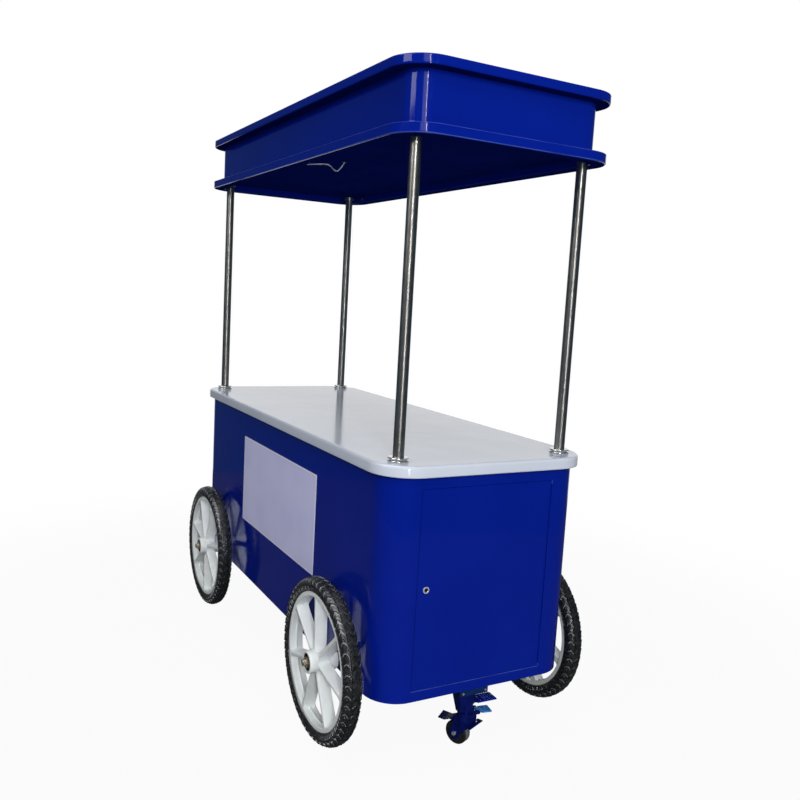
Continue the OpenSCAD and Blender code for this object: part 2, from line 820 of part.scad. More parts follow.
// One spoke along +X: ridged across, and deeper at the rim than at the hub
module spoke() {
    from_r = hub_d / 2 - spoke_root;
    to_r = rim_bore_r + rim_t / 2;
    top = rim_w / 2 - spoke_inset;
    low_hub = top - spoke_hub_depth;
    low_rim = top - spoke_rim_depth;
    intersection() {
        rotate([90, 0, 0]) linear_extrude(spoke_back_w, center = true)
            polygon([[from_r, low_hub], [to_r, low_rim], [to_r, top], [from_r, top]]);
        translate([from_r, 0, 0]) rotate([90, 0, 90]) linear_extrude(to_r - from_r) polygon([
            [-spoke_back_w / 2, low_rim], [spoke_back_w / 2, low_rim],
            [spoke_ridge_w / 2, top], [-spoke_ridge_w / 2, top]
        ]);
    }
}

// Moulded wheel: rim, spokes and hub, with a recess and a bearing seat in each end
module wheel(fx, sy, phase) {
    shaft_d = bearing_d - 2 * bearing_shoulder;
    seat_d = bearing_d + 2 * run_gap;
    color("white") at_wheel(fx, sy) difference() {
        union() {
            rim();
            for (k = [0:spoke_count - 1]) rotate(phase + 360 * k / spoke_count) spoke();
            translate([0, 0, -hub_l / 2]) cylinder(d = hub_d, h = hub_l);
        }
        translate([0, 0, -hub_l / 2 - cut]) cylinder(d = shaft_d, h = hub_l + 2 * cut);
        for (m = [0, 1]) mirror([0, 0, m]) {
            translate([0, 0, bearing_y]) cylinder(d = hub_recess_d, h = hub_recess + cut);
            translate([0, 0, bearing_y - bearing_w]) cylinder(d = seat_d, h = bearing_w + cut);
        }
    }
}
module front_right_wheel() wheel(1, -1, spoke_phases[0]);
module front_left_wheel() wheel(1, 1, spoke_phases[1]);
module rear_right_wheel() wheel(-1, -1, spoke_phases[2]);
module rear_left_wheel() wheel(-1, 1, spoke_phases[3]);

module bearings(fx, sy) {
    color(steel) at_wheel(fx, sy) for (m = [0, 1]) mirror([0, 0, m])
        translate([0, 0, bearing_y - bearing_w])
            round_tube(bearing_d, axle_d + 2 * run_gap, bearing_w);
}
module front_right_bearings() bearings(1, -1);
module front_left_bearings() bearings(1, 1);
module rear_right_bearings() bearings(-1, -1);
module rear_left_bearings() bearings(-1, 1);

// Places children on the lock's axis with local +Z out of the door
module at_lock(depth) {
    translate([end_x - depth, lock_y, lock_z]) rotate([0, 90, 0]) children();
}

// Door's outer sheet, folded back along all four edges
module door_skin() {
    color(blue) difference() {
        translate([end_x - door_t, door_lock_y, door_z]) cube([door_t, door_w, door_h]);
        translate([end_x - door_t - cut, door_lock_y + skin_t, door_z + skin_t])
            cube([door_t - skin_t + cut, door_w - 2 * skin_t, door_h - 2 * skin_t]);
        at_lock(door_t) cylinder(d = lock_body_d + 2 * run_gap, h = door_t + cut);
    }
}

module door_liner() {
    inset = skin_t + fit_gap;
    color(white) difference() {
        translate([end_x - door_t, door_lock_y + inset, door_z + inset])
            cube([skin_t, door_w - 2 * inset, door_h - 2 * inset]);
        at_lock(door_t + cut) cylinder(d = liner_hole_d, h = skin_t + 2 * cut);
    }
}

// One leaf of the long hinge: side is 1 on the frame, -1 on the door, and first is its first knuckle
module hinge_leaf(side, first) {
    pin_bore = hinge_pin_d + 2 * run_gap;
    leaf_x = end_x - hinge_leaf_w;
    color(blue) translate([0, 0, door_z + hinge_end]) difference() {
        union() {
            translate([leaf_x, hinge_y + (side > 0 ? leaf_gap / 2 : -leaf_gap / 2 - leaf_t), 0])
                cube([hinge_x - leaf_x, leaf_t, hinge_l]);
            for (k = [first:2:knuckle_count - 1])
                translate([hinge_x, hinge_y, k * knuckle_l + face_gap / 2])
                    cylinder(d = knuckle_d, h = knuckle_l - face_gap);
        }
        translate([hinge_x, hinge_y, -cut]) cylinder(d = pin_bore, h = hinge_l + 2 * cut);
        for (k = [1 - first:2:knuckle_count - 1])
            translate([hinge_x, hinge_y, k * knuckle_l - face_gap / 2])
                cylinder(d = knuckle_d + 2 * hinge_clear, h = knuckle_l + face_gap);
        for (end = [-cut, hinge_l - face_gap / 2])
            translate([end_x + hinge_clear / 2, hinge_y - knuckle_d, end])
                cube([2 * knuckle_d, 2 * knuckle_d, cut + face_gap / 2]);
    }
}
module hinge_frame_leaf() hinge_leaf(1, 0);
module hinge_door_leaf() hinge_leaf(-1, 1);

module hinge_pin() {
    color(steel) translate([hinge_x, hinge_y, door_z + hinge_end])
        cylinder(d = hinge_pin_d, h = hinge_l);
}

module lock_barrel() {
    color(steel) difference() {
        union() {
            at_lock(0) cylinder(d = lock_d, h = lock_face_h);
            at_lock(lock_tail) cylinder(d = lock_body_d, h = lock_tail);
        }
        at_lock(lock_tail + cut)
            cylinder(d = lock_plug_d + 2 * run_gap, h = lock_tail + lock_face_h + 2 * cut);
    }
}

module lock_nut() {
    color(steel) at_lock(skin_t + lock_nut_h) difference() {
        cylinder(d = lock_nut_d, h = lock_nut_h, $fn = 6);
        translate([0, 0, -cut]) cylinder(d = lock_body_d + 2 * run_gap, h = lock_nut_h + 2 * cut);
    }
}

// Turning plug with a key slot in its face and the cam on its tail, hanging down while unlocked
module lock_cam() {
    cam_depth = lock_tail + face_gap + cam_t;
    plug_face = lock_face_h - plug_recess;
    color(steel) difference() {
        union() {
            at_lock(cam_depth) cylinder(d = lock_plug_d, h = cam_depth + plug_face);
            at_lock(cam_depth) linear_extrude(cam_t) {
                circle(d = cam_w);
                translate([0, -cam_w / 2]) square([cam_l - cam_w / 2, cam_w]);
                translate([cam_l - cam_w / 2, 0]) circle(d = cam_w);
            }
        }
        translate([end_x + plug_face - key_slot_depth, lock_y - key_slot_w / 2, lock_z - key_slot_l / 2])
            cube([key_slot_depth + cut, key_slot_w, key_slot_l]);
    }
}

// Places children on the caster's upright axis, turned to an angle
module at_jack(turn, z) {
    translate([jack_x, 0, z]) rotate(turn) children();
}

// Plate under the end beam with a lip at the front and at the back
module jack_saddle() {
    saddle_l = saddle_front + saddle_back;
    color(blue) difference() {
        union() {
            translate([jack_x - saddle_back, -saddle_w / 2, cabinet_z - saddle_t])
                cube([saddle_l, saddle_w, saddle_t]);
            for (x = [-saddle_back, saddle_front - saddle_t])
                translate([jack_x + x, -saddle_w / 2, cabinet_z - saddle_h])
                    cube([saddle_t, saddle_w, saddle_h]);
        }
        for (sy = [-1, 1])
            translate([jack_x + saddle_front - saddle_t - cut, sy * bolt_pitch / 2, bolt_z])
                rotate([0, 90, 0]) cylinder(d = bolt_d + 2 * run_gap, h = saddle_t + 2 * cut);
    }
}

module jack_bolts() {
    color(steel) for (sy = [-1, 1])
        translate([jack_x + saddle_front, sy * bolt_pitch / 2, bolt_z]) rotate([0, 90, 0]) {
            cylinder(d = bolt_head_d, h = bolt_head_h, $fn = 6);
            translate([0, 0, -bolt_depth]) cylinder(d = bolt_d, h = bolt_depth);
        }
}

// Two lugs with a pin between them, for a lever whose hub lies square to +X
module pin_lugs(pivot_r, pivot_z, hub_w, lug_d, pin_d) {
    lug_y = hub_w / 2 + lug_gap + lug_t / 2;
    for (s = [-1, 1]) translate([0, s * lug_y, pivot_z]) rotate([90, 0, 0])
        linear_extrude(lug_t, center = true) {
            translate([pivot_r, 0]) circle(d = lug_d);
            translate([0, -lug_d / 2]) square([pivot_r, lug_d]);
        }
    translate([pivot_r, 0, pivot_z]) rotate([90, 0, 0])
        cylinder(d = pin_d, h = 2 * lug_y, center = true);
}

// Tapered web on the sign side, from the block down past the plunger's collar
module housing_web() {
    at_jack(0, 0) hull() {
        translate([-web_back, -web_side, housing_block_z]) cube([web_back + web_front, web_side, web_t]);
        translate([-web_low_back, -web_side, web_z]) cube([web_low_back + web_front, web_side, web_t]);
    }
}

module jack_housing() {
    block_top = cabinet_z - saddle_t;
    bore = plunger_d + 2 * run_gap;
    block_l = housing_back + saddle_front - saddle_t;
    color(blue) difference() {
        union() {
            translate([jack_x - housing_back, -housing_half_w, housing_block_z])
                cube([block_l, 2 * housing_half_w, block_top - housing_block_z]);
            at_jack(0, housing_z)
                cylinder(d1 = housing_low_d, d2 = housing_top_d, h = housing_block_z - housing_z);
            housing_web();
            at_jack(pedal_turn, 0)
                pin_lugs(lift_pivot_r, lift_pivot_z, lift_hub_w, lift_lug_d, lift_pin_d);
        }
        at_jack(0, housing_z - cut) cylinder(d = bore, h = block_top - housing_z + 2 * cut);
        at_jack(0, web_z - cut) cylinder(r = collar_r + web_clear, h = housing_z - web_z + cut);
        for (sy = [-1, 1])
            translate([jack_x + saddle_front - bolt_depth - cut, sy * bolt_pitch / 2, bolt_z])
                rotate([0, 90, 0]) cylinder(d = bolt_d + 2 * run_gap, h = bolt_depth + cut);
    }
}

// Plunger with the collar that the caster turns under, its kingpin and the lugs of the lock pedal
module jack_plunger() {
    crown_z = fork_top_z - crown_h;
    color(blue) {
        at_jack(0, collar_z) cylinder(d = plunger_d, h = plunger_top_z - collar_z);
        at_jack(0, collar_z) cylinder(r = collar_r, h = collar_h);
        at_jack(0, crown_z - face_gap) cylinder(d = kingpin_d, h = collar_z + collar_h - crown_z);
        at_jack(0, crown_z - face_gap - kingpin_head_h)
            cylinder(d = kingpin_head_d, h = kingpin_head_h);
        at_jack(lock_pedal_turn, 0)
            pin_lugs(lock_pivot_r, lock_pivot_z, lock_hub_w, lock_lug_d, lock_pin_d);
    }
}

// Foot lever: a hub that turns on its pin, a neck and a ridged plate, with cheeks beside the lugs
module foot_lever(pivot_r, hub_w, hub_d, pin_d, cheek_start, plate_start, reach, plate_w, bars) {
    pitch = (reach - plate_start) / (bars + 1);
    low = -pedal_t / 2;
    notch_w = hub_w + 2 * (lug_gap + lug_t + cheek_gap);
    difference() {
        union() {
            translate([pivot_r, 0, 0]) rotate([90, 0, 0]) cylinder(d = hub_d, h = hub_w, center = true);
            translate([pivot_r, -hub_w / 2, low]) cube([plate_start - pivot_r, hub_w, pedal_t]);
            difference() {
                translate([cheek_start, -plate_w / 2, low]) cube([reach - cheek_start, plate_w, pedal_t]);
                translate([cheek_start - cut, -notch_w / 2, low - cut])
                    cube([plate_start - cheek_start + cut, notch_w, pedal_t + 2 * cut]);
            }
            if (bars > 0) for (k = [1:bars])
                translate([plate_start + k * pitch - tread_bar_w / 2, -plate_w / 2, pedal_t / 2])
                    cube([tread_bar_w, plate_w, tread_bar_h]);
        }
        translate([pivot_r, 0, 0]) rotate([90, 0, 0])
            cylinder(d = pin_d + 2 * run_gap, h = hub_w + 2 * cut, center = true);
    }
}

module lift_pedal() {
    color(blue) at_jack(pedal_turn, lift_pivot_z) foot_lever(
        lift_pivot_r, lift_hub_w, lift_hub_d, lift_pin_d, lift_cheek_start, lift_plate_start,
        lift_pedal_reach, lift_pedal_w, tread_bar_count
    );
}

module lock_pedal() {
    color("#2f6fc4") at_jack(lock_pedal_turn, lock_pivot_z) foot_lever(
        lock_pivot_r, lock_hub_w, lock_hub_d, lock_pin_d, lock_plate_start, lock_plate_start,
        lock_pedal_reach, lock_pedal_w, 0
    );
}

// Places children on the caster wheel's axis with local +Z along the axis
module at_caster_wheel() {
    at_jack(caster_turn, caster_z) translate([-caster_trail, 0, 0]) rotate([90, 0, 0]) children();
}

// One leg from the crown to the boss round the wheel's axle, with the brake's pin near its front edge
module leg_outline() {
    translate([-caster_trail, caster_z]) circle(leg_boss_r);
    polygon([
        [leg_top_half, fork_top_z], [-leg_top_half, fork_top_z],
        [-caster_trail - leg_boss_r, caster_z], [-caster_trail + leg_boss_r, caster_z],
        [brake_x + brake_pin_d, brake_z - brake_hub_d], [leg_top_half, fork_top_z - crown_h]
    ]);
}

// Crown that turns on the kingpin, two legs and the brake's pin between them
module caster_fork() {
    crown_z = fork_top_z - crown_h;
    half_w = leg_y + leg_t;
    color(blue) difference() {
        union() {
            at_jack(caster_turn, crown_z) cylinder(r = crown_r, h = crown_h);
            at_jack(caster_turn, crown_z) translate([-leg_top_half, -half_w, 0])
                cube([2 * leg_top_half, 2 * half_w, crown_h]);
            for (s = [-1, 1]) at_jack(caster_turn, 0)
                translate([0, s * (leg_y + leg_t / 2), 0]) rotate([90, 0, 0])
                    linear_extrude(leg_t, center = true) leg_outline();
            at_jack(caster_turn, brake_z) translate([brake_x, 0, 0]) rotate([90, 0, 0])
                cylinder(d = brake_pin_d, h = 2 * leg_y + leg_t, center = true);
        }
        at_jack(0, crown_z - cut) cylinder(d = kingpin_d + 2 * run_gap, h = crown_h + 2 * cut);
        at_caster_wheel()
            cylinder(d = caster_axle_d + 2 * run_gap, h = 2 * half_w + 2 * cut, center = true);
    }
}

module caster_axle() {
    half_l = leg_y + leg_t + caster_nut_h;
    color(steel) at_caster_wheel() {
        cylinder(d = caster_axle_d, h = 2 * half_l, center = true);
        for (m = [0, 1]) mirror([0, 0, m]) translate([0, 0, half_l - caster_nut_h])
            cylinder(d = caster_nut_d, h = caster_nut_h, $fn = 6);
    }
}

module caster_tread() {
    half = caster_w / 2;
    edge = caster_z - tread_round;
    color("#55585c") at_caster_wheel() rotate_extrude() polygon([
        [caster_hub_d / 2 + run_gap, -half], [edge, -half], [caster_z, tread_round - half],
        [caster_z, half - tread_round], [edge, half], [caster_hub_d / 2 + run_gap, half]
    ]);
}

module caster_hub() {
    hub_w = caster_w + 2 * caster_hub_proud;
    color(black) at_caster_wheel() translate([0, 0, -hub_w / 2])
        round_tube(caster_hub_d, caster_axle_d + 2 * run_gap, hub_w);
}

// Side of the brake rocker from the heel, over the pivot and the wheel, to the dropped toe
module brake_outline() {
    low = caster_d + brake_lift;
    toe_x = brake_toe_far[0];
    polygon([
        [brake_heel_x, low], [-brake_knee_x, low], [-brake_bend_x, brake_toe_z], [toe_x, brake_toe_z],
        [toe_x, brake_toe_z + brake_t], [-brake_bend_x, brake_toe_z + brake_t],
        [-brake_knee_x, low + brake_t], [brake_heel_x, low + brake_t]
    ]);
}

// One side of the rocker's heel and neck: a bar in front of the legs with a wing beside the leg
module brake_half_plan() {
    polygon([
        [brake_heel_x, 0], [brake_heel_x, brake_heel_y], [brake_wing_x, brake_heel_y],
        [brake_wing_x, brake_wing_y], [brake_bar_x, brake_wing_y], [brake_bar_x, brake_w / 2],
        [-brake_root_x, brake_w / 2], [-brake_root_x, brake_root_y], [-brake_knee_x, brake_root_y],
        [-brake_knee_x, 0]
    ]);
}

// The toe behind the wheel, cut on the skew
module brake_toe_plan() {
    polygon([
        [-brake_root_x, brake_root_y], brake_toe_far, brake_toe_near, [-brake_root_x, -brake_root_y]
    ]);
}

module brake_pedal() {
    color(blue) at_jack(caster_turn, 0) difference() {
        union() {
            intersection() {
                rotate([90, 0, 0]) linear_extrude(2 * caster_d, center = true) brake_outline();
                linear_extrude(2 * caster_d) union() {
                    brake_half_plan();
                    mirror([0, 1]) brake_half_plan();
                    brake_toe_plan();
                }
            }
            translate([brake_x, 0, brake_z]) rotate([90, 0, 0])
                cylinder(d = brake_hub_d, h = brake_w, center = true);
        }
        translate([brake_x, 0, brake_z]) rotate([90, 0, 0])
            cylinder(d = brake_pin_d + 2 * run_gap, h = brake_w + 2 * cut, center = true);
    }
}

cabinet_shell();
base_side_rails();
base_cross_rails();
cabinet_uprights();
top_rails();
floor_panel();
door_jambs();
counter_core();
countertop();
sign_panel();
front_right_post();
front_left_post();
rear_right_post();
rear_left_post();
post_flanges();
post_sockets();
canopy_ring();
canopy_fascia();
canopy_ceiling();
canopy_frame();
canopy_roof();
lead_grommets();
lamp_lead();
front_axle();
rear_axle();
axle_sleeves();
axle_spacers();
axle_washers();
axle_nuts();
front_right_tyre();
front_left_tyre();
rear_right_tyre();
rear_left_tyre();
front_right_wheel();
front_left_wheel();
rear_right_wheel();
rear_left_wheel();
front_right_bearings();
front_left_bearings();
rear_right_bearings();
rear_left_bearings();
door_skin();
door_liner();
hinge_frame_leaf();
hinge_door_leaf();
hinge_pin();
lock_barrel();
lock_nut();
lock_cam();
jack_saddle();
jack_bolts();
jack_housing();
jack_plunger();
lift_pedal();
lock_pedal();
caster_fork();
caster_axle();
caster_tread();
caster_hub();
brake_pedal();
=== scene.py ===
import math

import bmesh
import bpy
from mathutils import Matrix, Vector


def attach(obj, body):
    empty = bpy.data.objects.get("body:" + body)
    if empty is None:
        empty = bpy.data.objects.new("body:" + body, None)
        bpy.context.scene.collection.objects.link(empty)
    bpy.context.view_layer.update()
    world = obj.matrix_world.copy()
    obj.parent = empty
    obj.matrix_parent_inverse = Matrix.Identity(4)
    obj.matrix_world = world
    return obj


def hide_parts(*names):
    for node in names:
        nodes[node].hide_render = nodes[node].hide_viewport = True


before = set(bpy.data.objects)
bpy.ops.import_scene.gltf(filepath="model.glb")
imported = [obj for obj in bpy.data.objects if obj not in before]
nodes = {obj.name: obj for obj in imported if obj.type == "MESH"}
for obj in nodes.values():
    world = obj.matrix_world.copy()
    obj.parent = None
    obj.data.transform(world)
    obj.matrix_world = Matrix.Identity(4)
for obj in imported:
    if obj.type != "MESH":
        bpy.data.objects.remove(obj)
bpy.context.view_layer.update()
scene = bpy.context.scene
MM = 0.001

# Camera: the photograph's viewpoint in front of the door end, on the sign side.
camera = bpy.data.objects.new("camera", bpy.data.cameras.new("camera"))
scene.collection.objects.link(camera)
scene.camera = camera
camera.data.sensor_width = 36
camera.data.lens = 36.99
look = Vector((-0.8669, 0.4825, -0.1253)).normalized()
right = Vector((0.4794, 0.8758, 0.0555))
right = (right - right.dot(look) * look).normalized()
camera.matrix_world = Matrix.Translation((2.7822, -1.3840, 1.3614)) @ Matrix(
    (right, right.cross(look), -look)
).transposed().to_4x4()


# Finishes

EVEN = (1, 1, 1)
# Where along the noise the two colours of a finish lie.
COLOUR_STOPS = (0.32, 0.68)


def linear(code):
    """sRGB hex to the linear colour that a socket takes."""
    parts = [int(code[i:i + 2], 16) / 255 for i in (1, 3, 5)]
    return tuple(c / 12.92 if c <= 0.04045 else ((c + 0.055) / 1.055) ** 2.4 for c in parts) + (1,)


def put(tree, kind, values=None, links=None, **settings):
    """Adds one shader node with its settings, socket values and incoming links."""
    made = tree.nodes.new("ShaderNode" + kind)
    for key, value in settings.items():
        setattr(made, key, value)
    for key, value in (values or {}).items():
        made.inputs[key].default_value = value
    for key, source in (links or {}).items():
        tree.links.new(source, made.inputs[key])
    return made


def finish(name, **sockets):
    """A new material: the material, its tree, its main shader and the piece's own coordinates."""
    made = bpy.data.materials.new(name)
    made.use_nodes = True
    tree = made.node_tree
    shader = tree.nodes["Principled BSDF"]
    for key, value in sockets.items():
        shader.inputs[key.replace("_", " ")].default_value = value
    return made, tree, shader, put(tree, "TexCoord").outputs["Object"]


def noise(tree, coords, spacing, detail, stretch):
    """Noise in patches about spacing millimetres apart."""
    placed = put(tree, "Mapping", {"Scale": stretch}, {"Vector": coords})
    values = {"Scale": 1 / (spacing * MM), "Detail": detail}
    return put(tree, "TexNoise", values, {"Vector": placed.outputs[0]}).outputs["Fac"]


def mottle(tree, shader, coords, spacing, colours, detail=3.0, stretch=EVEN):
    """Lets the base colour drift between two hex colours in patches about spacing millimetres apart."""
    ramp = put(tree, "ValToRGB", links={"Fac": noise(tree, coords, spacing, detail, stretch)})
    for stop, place, code in zip(ramp.color_ramp.elements, COLOUR_STOPS, colours):
        stop.position = place
        stop.color = linear(code)
    tree.links.new(ramp.outputs["Color"], shader.inputs["Base Color"])


def grain(tree, shader, coords, spacing, height, rough, stretch=EVEN):
    """Bump from noise about spacing millimetres wide and height deep, and a drift of roughness."""
    waves = noise(tree, coords, spacing, 2.0, stretch)
    bump = put(tree, "Bump", {"Strength": 1.0, "Distance": height * MM}, {"Height": waves})
    tree.links.new(bump.outputs[0], shader.inputs["Normal"])
    span = put(tree, "MapRange", {"To Min": rough[0], "To Max": rough[1]}, {"Value": waves})
    tree.links.new(span.outputs[0], shader.inputs["Roughness"])


def surface(name, patch, colours, ridge, height, rough, detail=3.0, patch_stretch=EVEN, ridge_stretch=EVEN,
            **sockets):
    """A finish with patches of two colours and a grain of ridges, all in millimetres."""
    made, tree, shader, coords = finish(name, **sockets)
    mottle(tree, shader, coords, patch, colours, detail, patch_stretch)
    grain(tree, shader, coords, ridge, height, rough, ridge_stretch)
    return made


# Stoving enamel sprayed on sheet steel: deep, even blue with a wet gloss. Its orange peel is about 2 mm wide,
# too fine to show from here, so it is drawn 12 mm wide.
enamel = surface(
    "blue_enamel_sprayed", patch=350, colours=("#031A83", "#041D8A"), ridge=12, height=0.03,
    rough=(0.06, 0.11), Specular_IOR_Level=0.28, IOR=1.5,
)
# The same enamel painted paler and duller along folds and the door's gap: a painted highlight, a fine light
# line.
enamel_painted_highlight = surface(
    "blue_enamel_painted_edge_highlight", patch=80, colours=("#24389E", "#3E54B2"), ridge=6, height=0.05,
    rough=(0.25, 0.4), Specular_IOR_Level=0.15,
)
# The same blue painted darker and flat, with no sheen, below the ceiling, ring and roof: a painted shade.
underside_painted_shade = surface(
    "blue_enamel_painted_shade_underside", patch=200, colours=("#071660", "#091A6A"), ridge=10, height=0.05,
    rough=(0.6, 0.75), Specular_IOR_Level=0.0,
)
# The jack's and caster's blue painted darker, almost navy, as the shade under the cart, with a duller gloss.
navy_painted_shade = surface(
    "blue_enamel_painted_shade_under_cart", patch=30, colours=("#030D46", "#051462"), ridge=6, height=0.1,
    rough=(0.18, 0.3), Specular_IOR_Level=0.3,
)
# The sprayed enamel painted paler and smooth on the foot pedal's ribs: a painted highlight along them.
rib_painted_highlight = surface(
    "blue_enamel_painted_rib_highlight", patch=20, colours=("#3350C4", "#6F88E6"), ridge=4, height=0.03,
    rough=(0.15, 0.3), Specular_IOR_Level=0.5,
)
# Brush-touched enamel on a pressed steel pedal: lighter blue, a little uneven.
light_enamel = surface(
    "light_blue_enamel", patch=12, colours=("#2869C0", "#4A90DE"), ridge=4, height=0.1,
    rough=(0.25, 0.45), Specular_IOR_Level=0.3,
)
# One brushed coat over grey primer on the saddle plate: a greyer blue that shows brush strokes.
over_primer = surface(
    "blue_enamel_brushed_over_primer", patch=20, colours=("#071F4C", "#0F2F60"), ridge=4, height=0.1,
    rough=(0.3, 0.45), patch_stretch=(1, 0.3, 1), ridge_stretch=(1, 0.2, 1), Specular_IOR_Level=0.2,
)
# Grey primer on mill-finish square tube: matt and slightly clouded.
primer = surface(
    "grey_primer_on_tube", patch=50, colours=("#3B3F46", "#4A4E55"), ridge=4, height=0.08,
    rough=(0.5, 0.7), Specular_IOR_Level=0.3,
)
# Cast acrylic sheet, heat-formed over a board: clean cool white, glossy enough to mirror the posts.
acrylic = surface(
    "white_cast_acrylic", patch=250, colours=("#BFC7D6", "#C8CFDC"), ridge=60, height=0.1,
    rough=(0.10, 0.17), Specular_IOR_Level=0.5, IOR=1.49,
)
# Birch plywood: pale sapwood with long soft grain.
ply = surface(
    "birch_plywood", patch=12, colours=("#B58D5C", "#D2AE7E"), ridge=4, height=0.1,
    rough=(0.6, 0.8), patch_stretch=(0.08, 1, 1), ridge_stretch=(0.06, 1, 1), Specular_IOR_Level=0.3,
)
# Satin vinyl on thin aluminium sheet: lilac grey, slightly clouded.
vinyl = surface(
    "satin_vinyl_sheet", patch=160, colours=("#CFD0FA", "#D7D9FF"), ridge=50, height=0.2,
    rough=(0.35, 0.5), Specular_IOR_Level=0.35,
)
# Sheared aluminium edge: pale, finely torn.
cut_edge = surface(
    "sheared_aluminium", patch=4, colours=("#DCDDF2", "#F2F3FF"), ridge=2, height=0.1,
    rough=(0.35, 0.5), Metallic=0.1,
)
# Mirror-polished stainless tube: bright streaks, dark edges, and faint polishing marks round the tube. The
# marks are about 0.3 mm apart and are drawn 6 mm apart so that they show.
stainless = surface(
    "stainless_steel_polished", patch=30, colours=("#A8A39C", "#BCB7B0"), ridge=6, height=0.002,
    rough=(0.28, 0.36), patch_stretch=(0.5, 0.5, 1), ridge_stretch=(0.1, 0.1, 1),
    Metallic=1.0, Specular_Tint=linear("#5A544C"),
)
# Turned and polished stainless flanges: brighter than the tubes, with turning rings that catch the light.
turned = surface(
    "stainless_steel_turned", patch=10, colours=("#C6C6C6", "#DCDCDD"), ridge=3, height=0.02,
    rough=(0.12, 0.2), ridge_stretch=(0.1, 0.1, 1), Metallic=0.85,
)
# Yellow-passivated zinc plate on turned steel: pale brassy sheen, uneven colour.
zinc = surface(
    "zinc_plated_steel", patch=8, colours=("#A69B84", "#DCD3C0"), ridge=3, height=0.03,
    rough=(0.16, 0.28), Metallic=0.8,
)
# Clear zinc plate on small bolts and hinge parts: cool bright grey.
bright = surface(
    "bright_zinc_plate", patch=6, colours=("#B4B8BE", "#D4D7DB"), ridge=2, height=0.04,
    rough=(0.22, 0.35), Metallic=0.7,
)
# Chromed die casting: mirror bright, with a trace of haze.
chromed = surface(
    "chromed_zinc_casting", patch=10, colours=("#DADDE2", "#ECEEF2"), ridge=4, height=0.02,
    rough=(0.08, 0.16), Metallic=0.6,
)
# Brass lock plug behind its dust shutter, painted dark as the keyhole's shade, so the lock reads as a bright
# ring.
brass_painted_shade = surface(
    "brass_painted_dark_as_keyhole_shade", patch=4, colours=("#1E1C18", "#343029"), ridge=2, height=0.04,
    rough=(0.35, 0.5), Metallic=0.4,
)
# Glass-filled nylon, injection moulded: cool white, satin, with faint flow clouds.
nylon = surface(
    "white_moulded_nylon", patch=60, colours=("#E4EAEA", "#F0F4F4"), ridge=5, height=0.06,
    rough=(0.32, 0.46), Specular_IOR_Level=0.4, IOR=1.53,
)
# Moulded black rubber: dull sidewalls, dark grooves and a shine where the section turns.
rubber = surface(
    "black_tyre_rubber", patch=9, colours=("#08090A", "#2E3033"), ridge=4, height=0.12,
    rough=(0.22, 0.36), detail=4.0, Specular_IOR_Level=0.9,
)
# The same rubber painted paler and smoother on the beads at the lugs' leading edges: a painted highlight.
lug_painted_highlight = surface(
    "tyre_rubber_painted_lug_highlight", patch=8, colours=("#55585C", "#9EA1A5"), ridge=3, height=0.2,
    rough=(0.2, 0.35), Specular_IOR_Level=1.0,
)
# Black nitrile seals on the bearings, dark and dull; on the hub's recess the same dark is a painted shadow.
seal_and_painted_shade = surface(
    "black_seal_and_painted_recess_shade", patch=6, colours=("#151412", "#211F1C"), ridge=2, height=0.05,
    rough=(0.5, 0.65), Specular_IOR_Level=0.3,
)
# Vacuum-formed ABS lining: off-white, fine leather-like grain.
abs_sheet = surface(
    "white_abs_sheet", patch=200, colours=("#D5D8DC", "#E0E2E5"), ridge=3, height=0.1,
    rough=(0.4, 0.55), Specular_IOR_Level=0.4,
)
# Soft white PVC sheath: slightly yellowed, satin.
pvc = surface(
    "white_pvc_sheath", patch=20, colours=("#D9DADB", "#EDEDEC"), ridge=3, height=0.04,
    rough=(0.35, 0.5), Specular_IOR_Level=0.45,
)
# Grey moulded rubber: matt and dusty.
grommet = surface(
    "grey_moulded_rubber", patch=6, colours=("#4E5258", "#62666C"), ridge=2, height=0.06,
    rough=(0.6, 0.75), Specular_IOR_Level=0.3,
)
# Grey thermoplastic rubber tread: matt, worn paler in patches.
tread_rubber = surface(
    "grey_thermoplastic_rubber", patch=6, colours=("#4C4F52", "#74777A"), ridge=2, height=0.1,
    rough=(0.5, 0.7), Specular_IOR_Level=0.35,
)
# Black moulded nylon hub: satin, scuffed.
black_nylon = surface(
    "black_moulded_nylon", patch=10, colours=("#131416", "#222427"), ridge=3, height=0.1,
    rough=(0.35, 0.55), Specular_IOR_Level=0.45,
)


# Lamp lead: out of one grommet in the ceiling, along it, down in a V and back up into the other.
CEILING = 1806.5
LEAD_DIAMETER = 4
LEAD_START = (34, -292)
LEAD_ROUTE = (
    (0, 0, 0), (0, 0, 2), (0.5, 0.5, 5), (1, 2, 7.5), (2.5, 4.5, 9.5), (4, 7, 10), (10, 18, 9.5),
    (18, 33, 8), (26, 48, 6.5), (34, 63, 5.5), (40, 74, 6), (45, 80.5, 8.5), (51, 85, 14), (57, 88.5, 20),
    (63, 92, 25.5), (68, 95, 28.5), (72, 97, 29), (76, 99, 28.5), (81, 101.5, 25.5), (87, 104.5, 19.5),
    (93, 107.5, 13), (97, 110, 7.5), (98.5, 111.5, 4), (99, 112, 2), (99, 112, 0),
)
lead_points = [
    Vector((LEAD_START[0] + x, LEAD_START[1] + y, CEILING - drop)) * MM for x, y, drop in LEAD_ROUTE
]
lead_curve = bpy.data.curves.new("lead", "CURVE")
lead_curve.dimensions = "3D"
lead_curve.bevel_depth = LEAD_DIAMETER / 2 * MM
lead_curve.bevel_resolution = 4
lead_curve.use_fill_caps = True
strand = lead_curve.splines.new("POLY")
strand.points.add(len(lead_points) - 1)
for point, place in zip(strand.points, lead_points):
    point.co = (*place, 1)
lead = bpy.data.objects.new("lead", lead_curve)
scene.collection.objects.link(lead)
lead_curve.materials.append(pvc)
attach(lead, "chassis")
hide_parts("lamp_lead")


# Shapes. Sizes are in millimetres until a mesh is placed, and outlines are (length, width, corner radius).

# Edges that turn by more than this many degrees stay crisp, or are rounded where a solid is softened.
CRISP = 32
